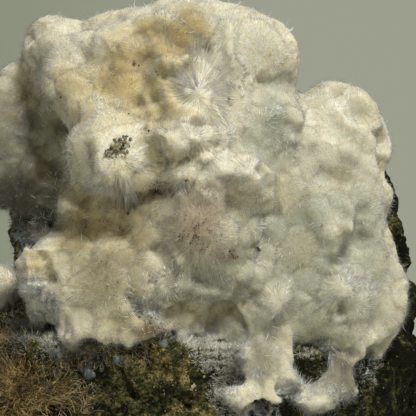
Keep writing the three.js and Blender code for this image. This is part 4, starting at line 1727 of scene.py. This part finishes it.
@dataclass
class DruseCrust:
    """A crust of short grey, cream and brown crystals."""

    name: str
    surface: Surface
    share: Array
    count: int
    seed: int
    lengths: Spot = (0.3, 1.3)
    colours: tuple[Colour, ...] = (
        (0.72, 0.70, 0.60), (0.36, 0.39, 0.35), (0.16, 0.17, 0.14), (0.34, 0.22, 0.09),
    )
    tuft: float = 1.1 * MM

    @staticmethod
    def along_edge(basalt: Surface, okenite: Surface, band: float = 3.0 * MM) -> Array:
        """How thick the crust is on the basalt along the edge of the okenite.

        Args:
            basalt: The surface of the basalt.
            okenite: The surface of the cluster.
            band: How far the crust reaches.

        Returns:
            One share for each triangle of the basalt.
        """
        away = okenite.distance_from(basalt.centres, 2 * band)
        patchy = layered_noise(basalt.centres, 4 * MM, 83)
        left = 1 - ramp(basalt.centres[:, 0], -26 * MM, -19 * MM)
        thick = 1 - ramp(away / band - 0.7 * patchy - 0.9 * left, 0.15, 0.8)
        thick *= ramp(basalt.centres[:, 2], 2 * MM, 4 * MM)
        return thick * (0.1 + ramp(patchy, -0.3, 0.3))

    def build(self, material: Material) -> None:
        """Makes the crystals, which lean away from the hearts of small tufts.

        Args:
            material: What they are dressed in.
        """
        dice = np.random.default_rng(self.seed)
        roots, outward = self.surface.strewn(self.count, self.share, dice)
        cells, shift = cells_at(roots, self.tuft, 110)
        hearts = (cells + shift) * self.tuft - outward * 0.5 * MM
        lean = unit(unit(roots - hearts) + 0.5 * outward + 0.3 * unit(dice.normal(size=roots.shape)))
        lean = unit(lean + outward * np.maximum(0.25 - (lean * outward).sum(axis=1), 0)[:, None])
        lengths = dice.uniform(*self.lengths, self.count) * MM
        radii = dice.uniform(0.04, 0.10, self.count) * MM
        shade = layered_noise(roots, 3.4 * MM, 87) + 0.35 * dice.normal(size=self.count)
        last = len(self.colours) - 1
        chosen = np.array(self.colours)[np.clip(np.rint((0.43 + 0.57 * shade) * last), 0, last).astype(int)]
        tints = chosen * dice.uniform(0.7, 1.2, (self.count, 1))
        tips = roots + lean * lengths[:, None]
        mesh = needle_mesh(self.name, roots - outward * 0.2 * MM, tips, radii, tints * 0.8, tints)
        finished(mesh, material, Slot.OKENITE)


@dataclass
class CurlyFibres:
    """Long curly fibres that grow from a surface, and lie along its grain where that isn't zero."""

    name: str
    surface: Surface
    share: Array
    count: int
    seed: int
    palette: tuple[Colour, ...]
    rings: int
    step: float
    thickness: float
    curl: Spot
    grain: float = 0.0

    def build(self, material: Material) -> None:
        """Makes the fibres.

        Args:
            material: What they are dressed in.
        """
        dice = np.random.default_rng(self.seed)
        roots, outward = self.surface.strewn(self.count, self.share, dice)
        turn = 1.3 * smooth_noise(roots, 5 * MM, 35)
        along = np.stack([np.cos(turn), 0 * turn, np.sin(turn)], axis=1) * self.grain
        along *= dice.choice((-1, 1), self.count)[:, None]
        heading = unit(dice.normal(size=roots.shape) + 0.4 * outward + along)
        heading = unit(heading - 0.8 * outward * (heading * outward).sum(axis=1)[:, None])
        curl = unit(dice.normal(size=roots.shape) + 1.2 * outward)
        curl = curl * dice.uniform(*self.curl, self.count)[:, None]
        stations = [roots - 0.15 * MM * outward]
        headings = [heading]
        for _ in range(self.rings):
            heading = unit(heading + np.cross(curl, heading) + 0.12 * dice.normal(size=roots.shape))
            heading = unit(heading + 0.12 * outward)
            stations.append(stations[-1] + heading * self.step * dice.uniform(0.8, 1.2, (self.count, 1)))
            headings.append(heading)
        line, ahead = np.stack(stations, axis=1), np.stack(headings, axis=1)
        side, other = axes_across(ahead)
        strand = Shape.rod(0.35, self.rings)
        ring = np.rint(strand.corners[:, 2] * self.rings).astype(int)
        radii = self.thickness * dice.uniform(0.6, 1.5, self.count)[:, None, None]
        x, y = strand.corners[None, :, 0:1], strand.corners[None, :, 1:2]
        points = line[:, ring] + (side[:, ring] * x + other[:, ring] * y) * radii
        chosen = np.array(self.palette)[dice.integers(len(self.palette), size=self.count)]
        chosen = chosen * dice.uniform(0.7, 1.2, (self.count, 1))
        bundles = ramp(layered_noise(points.reshape(-1, 3), 1.5 * MM, 36, layers=2), -0.5, 0.4)
        tints = chosen[:, None] * (0.35 + 0.8 * bundles.reshape(self.count, -1, 1))
        finished(strand.joined(self.name, points, tints), material, Slot.STAINED)


@dataclass
class BrownMat:
    """The mat of brown, curly, iron-stained fibres on the lower left of the basalt's front."""

    node: Object
    voxel: float = 0.35 * MM
    lumps: float = 1.0 * MM
    dark: Colour = (0.04, 0.029, 0.011)
    light: Colour = (0.13, 0.09, 0.03)
    fibres: int = 1_700
    palette: tuple[Colour, ...] = (
        (0.05, 0.030, 0.010), (0.19, 0.12, 0.035), (0.41, 0.27, 0.08), (0.60, 0.42, 0.14), (0.84, 0.67, 0.34),
    )

    def build(self, material: Material) -> None:
        """Makes the pad and its fibres.

        Args:
            material: What they are dressed in.
        """
        mesh = even_mesh(shell_of(self.node, "brown_fibre_pad"), self.voxel, 6)
        raise_by(mesh, self.lumps * layered_noise(corners_of(mesh), 2.8 * MM, 37))
        surface = Surface(mesh)
        shade = ramp(layered_noise(surface.points, 1.5 * MM, 39), -0.5, 0.6)[:, None]
        set_tint(mesh, np.array(self.dark) + shade * np.array(self.light))
        finished(mesh, material, Slot.STAINED, Node.MAT)
        share = ramp(-surface.facing[:, 1], -0.3, 0.2)
        CurlyFibres(
            "brown_curly_fibres", surface, share, self.fibres, 31, self.palette,
            rings=9, step=0.5 * MM, thickness=0.055 * MM, curl=(0.02, 0.2), grain=2.6,
        ).build(material)


@dataclass(frozen=True)
class StainedHem:
    """Stained fibres along the lower edge of the okenite and around the brown mat."""

    basalt: Surface
    zones: tuple[tuple[Spot, float, float], ...] = (
        ((-31.5, -22.6), 2.6, 0.8), ((-24.6, -26), 3, 0.3), ((-21, -30), 3, 0.5), ((-21, -21.8), 1.8, 1),
        ((-17, -21.4), 2.4, 1.4), ((-10.6, -20.6), 2.4, 1.6), ((-6.4, -19), 1.8, 0.6),
    )
    palette: tuple[Colour, ...] = (
        (0.24, 0.15, 0.06), (0.36, 0.25, 0.11), (0.52, 0.42, 0.24), (0.66, 0.60, 0.42),
    )
    fibres: int = 1_300

    def build(self, material: Material) -> None:
        """Makes the fibres.

        Args:
            material: What they are dressed in.
        """
        share = patches_on(self.basalt, self.zones)
        CurlyFibres(
            "stained_hem_fibres", self.basalt, share, self.fibres, 33, self.palette,
            rings=7, step=0.42 * MM, thickness=0.045 * MM, curl=(0.05, 0.35),
        ).build(material)


# The studio

BACKDROP_LEFT: Colour = (0.255, 0.275, 0.20)
BACKDROP_RIGHT: Colour = (0.335, 0.348, 0.268)
AIR_GLOW: Colour = (0.345, 0.34, 0.255)


def studio_air() -> None:
    """Sets the plain backdrop colour and a weaker glow of much the same colour that lights the shadows."""
    world = bpy.data.worlds.new("studio")
    bpy.context.scene.world = world
    world.use_nodes = True
    graph = Graph(world.node_tree)
    across = graph.add("SeparateXYZ", {0: graph.add("TexCoord").outputs["Generated"]}).outputs["X"]
    share = graph.add("MapRange", {"Value": across, "From Min": -0.11, "From Max": 0.03}).outputs[0]
    backdrop = graph.ramp(share, (0.0, BACKDROP_LEFT), (1.0, BACKDROP_RIGHT))
    seen = graph.add("Background", {"Color": backdrop, "Strength": 1.0}).outputs[0]
    glow = graph.add("Background", {"Color": AIR_GLOW, "Strength": 0.39}).outputs[0]
    by_camera = graph.add("LightPath").outputs["Is Camera Ray"]
    both = graph.add("MixShader", {0: by_camera, 1: glow, 2: seen}).outputs[0]
    graph.add("OutputWorld", {"Surface": both})


@dataclass(frozen=True)
class Lamp:
    """A soft square studio light that faces the specimen."""

    name: str
    azimuth: float
    elevation: float
    distance: float
    size: float
    watts: float
    colour: Colour

    def build(self) -> None:
        """Makes the light."""
        data = bpy.data.lights.new(self.name, "AREA")
        data.energy = self.watts
        data.size = self.size
        data.color = self.colour
        VIEW.aim(linked(data), direction(self.azimuth, self.elevation), self.distance)


FLOOR_RADIUS = 240 * MM
FLOOR_COLOUR: Colour = (0.55, 0.56, 0.50)

LAMPS = (
    Lamp("key light", 28, 53, 0.55, 0.2, 3.66, (0.996, 0.993, 1.0)),
    Lamp("fill light", -32, 18, 0.9, 0.6, 0.8, (1.0, 0.985, 0.9)),
)


def pale_floor() -> None:
    """Makes the plain pale round floor."""
    disc = bmesh.new()
    bmesh.ops.create_circle(disc, cap_ends=True, segments=96, radius=FLOOR_RADIUS)
    mesh = bpy.data.meshes.new("floor")
    disc.to_mesh(mesh)
    disc.free()
    material, graph = new_material("pale floor")
    graph.principled({"Base Color": FLOOR_COLOUR, "Roughness": 0.7})
    mesh.materials.append(material)
    linked(mesh)


def build_crusts(basalt: Surface, cluster: Surface) -> None:
    """Makes the grey druse along the edge of the okenite, on its foot and on the ledge below it.

    Args:
        basalt: The surface of the basalt.
        cluster: The surface of the cluster.
    """
    edge = DruseCrust.along_edge(basalt, cluster)
    foot_colours = ((0.95, 0.94, 0.86), (0.76, 0.77, 0.67), (0.50, 0.52, 0.45))
    ledge_colours = ((0.86, 0.82, 0.66), (0.58, 0.56, 0.44), (0.22, 0.22, 0.16))
    foot, ledge = patches_on(cluster, DRUSE_ZONES), patches_on(basalt, LEDGE_ZONES)
    druse = GrainFinish("grey druse", 0.4).build()
    DruseCrust("druse_crust", basalt, edge, 22_000, 25).build(druse)
    DruseCrust("druse_patches", cluster, foot, 6_500, 27, (0.3, 1.0), foot_colours).build(druse)
    DruseCrust("druse_ledge", basalt, ledge, 6_500, 29, (0.4, 1.3), ledge_colours).build(druse)


def main() -> None:
    """Builds the specimen piece by piece."""
    logging.basicConfig(level=logging.INFO, format="%(name)s: %(message)s")
    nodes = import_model()["nodes"]
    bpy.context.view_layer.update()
    VIEW.build()
    bpy.context.scene.view_settings.view_transform = "Standard"
    studio_air()
    for lamp in LAMPS:
        lamp.build()
    pale_floor()
    basalt = BasaltBlock(nodes[Node.BASALT.value])
    basalt.build()
    cluster = OkeniteCluster(nodes[Node.CLUSTER.value])
    cluster.build(basalt.surface)
    basalt.dress(cluster.surface)
    Tuft(nodes[Node.TUFT.value]).build(basalt.surface, cluster.colours)
    grains = GrainFinish("mineral grains", 0.45).build()
    LooseGrains("dark_grains", cluster.surface, SPECKLES, Slot.STAINED, 21).build(grains)
    LooseGrains("basalt_grains", basalt.surface, BASALT_SPECKLES, Slot.BASALT, 23).build(grains)
    build_crusts(basalt.surface, cluster.surface)
    brown = GrainFinish("brown fibres", 0.6).build()
    BrownMat(nodes[Node.MAT.value]).build(brown)
    StainedHem(basalt.surface).build(brown)
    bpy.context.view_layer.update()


if __name__ == "__main__":
    main()
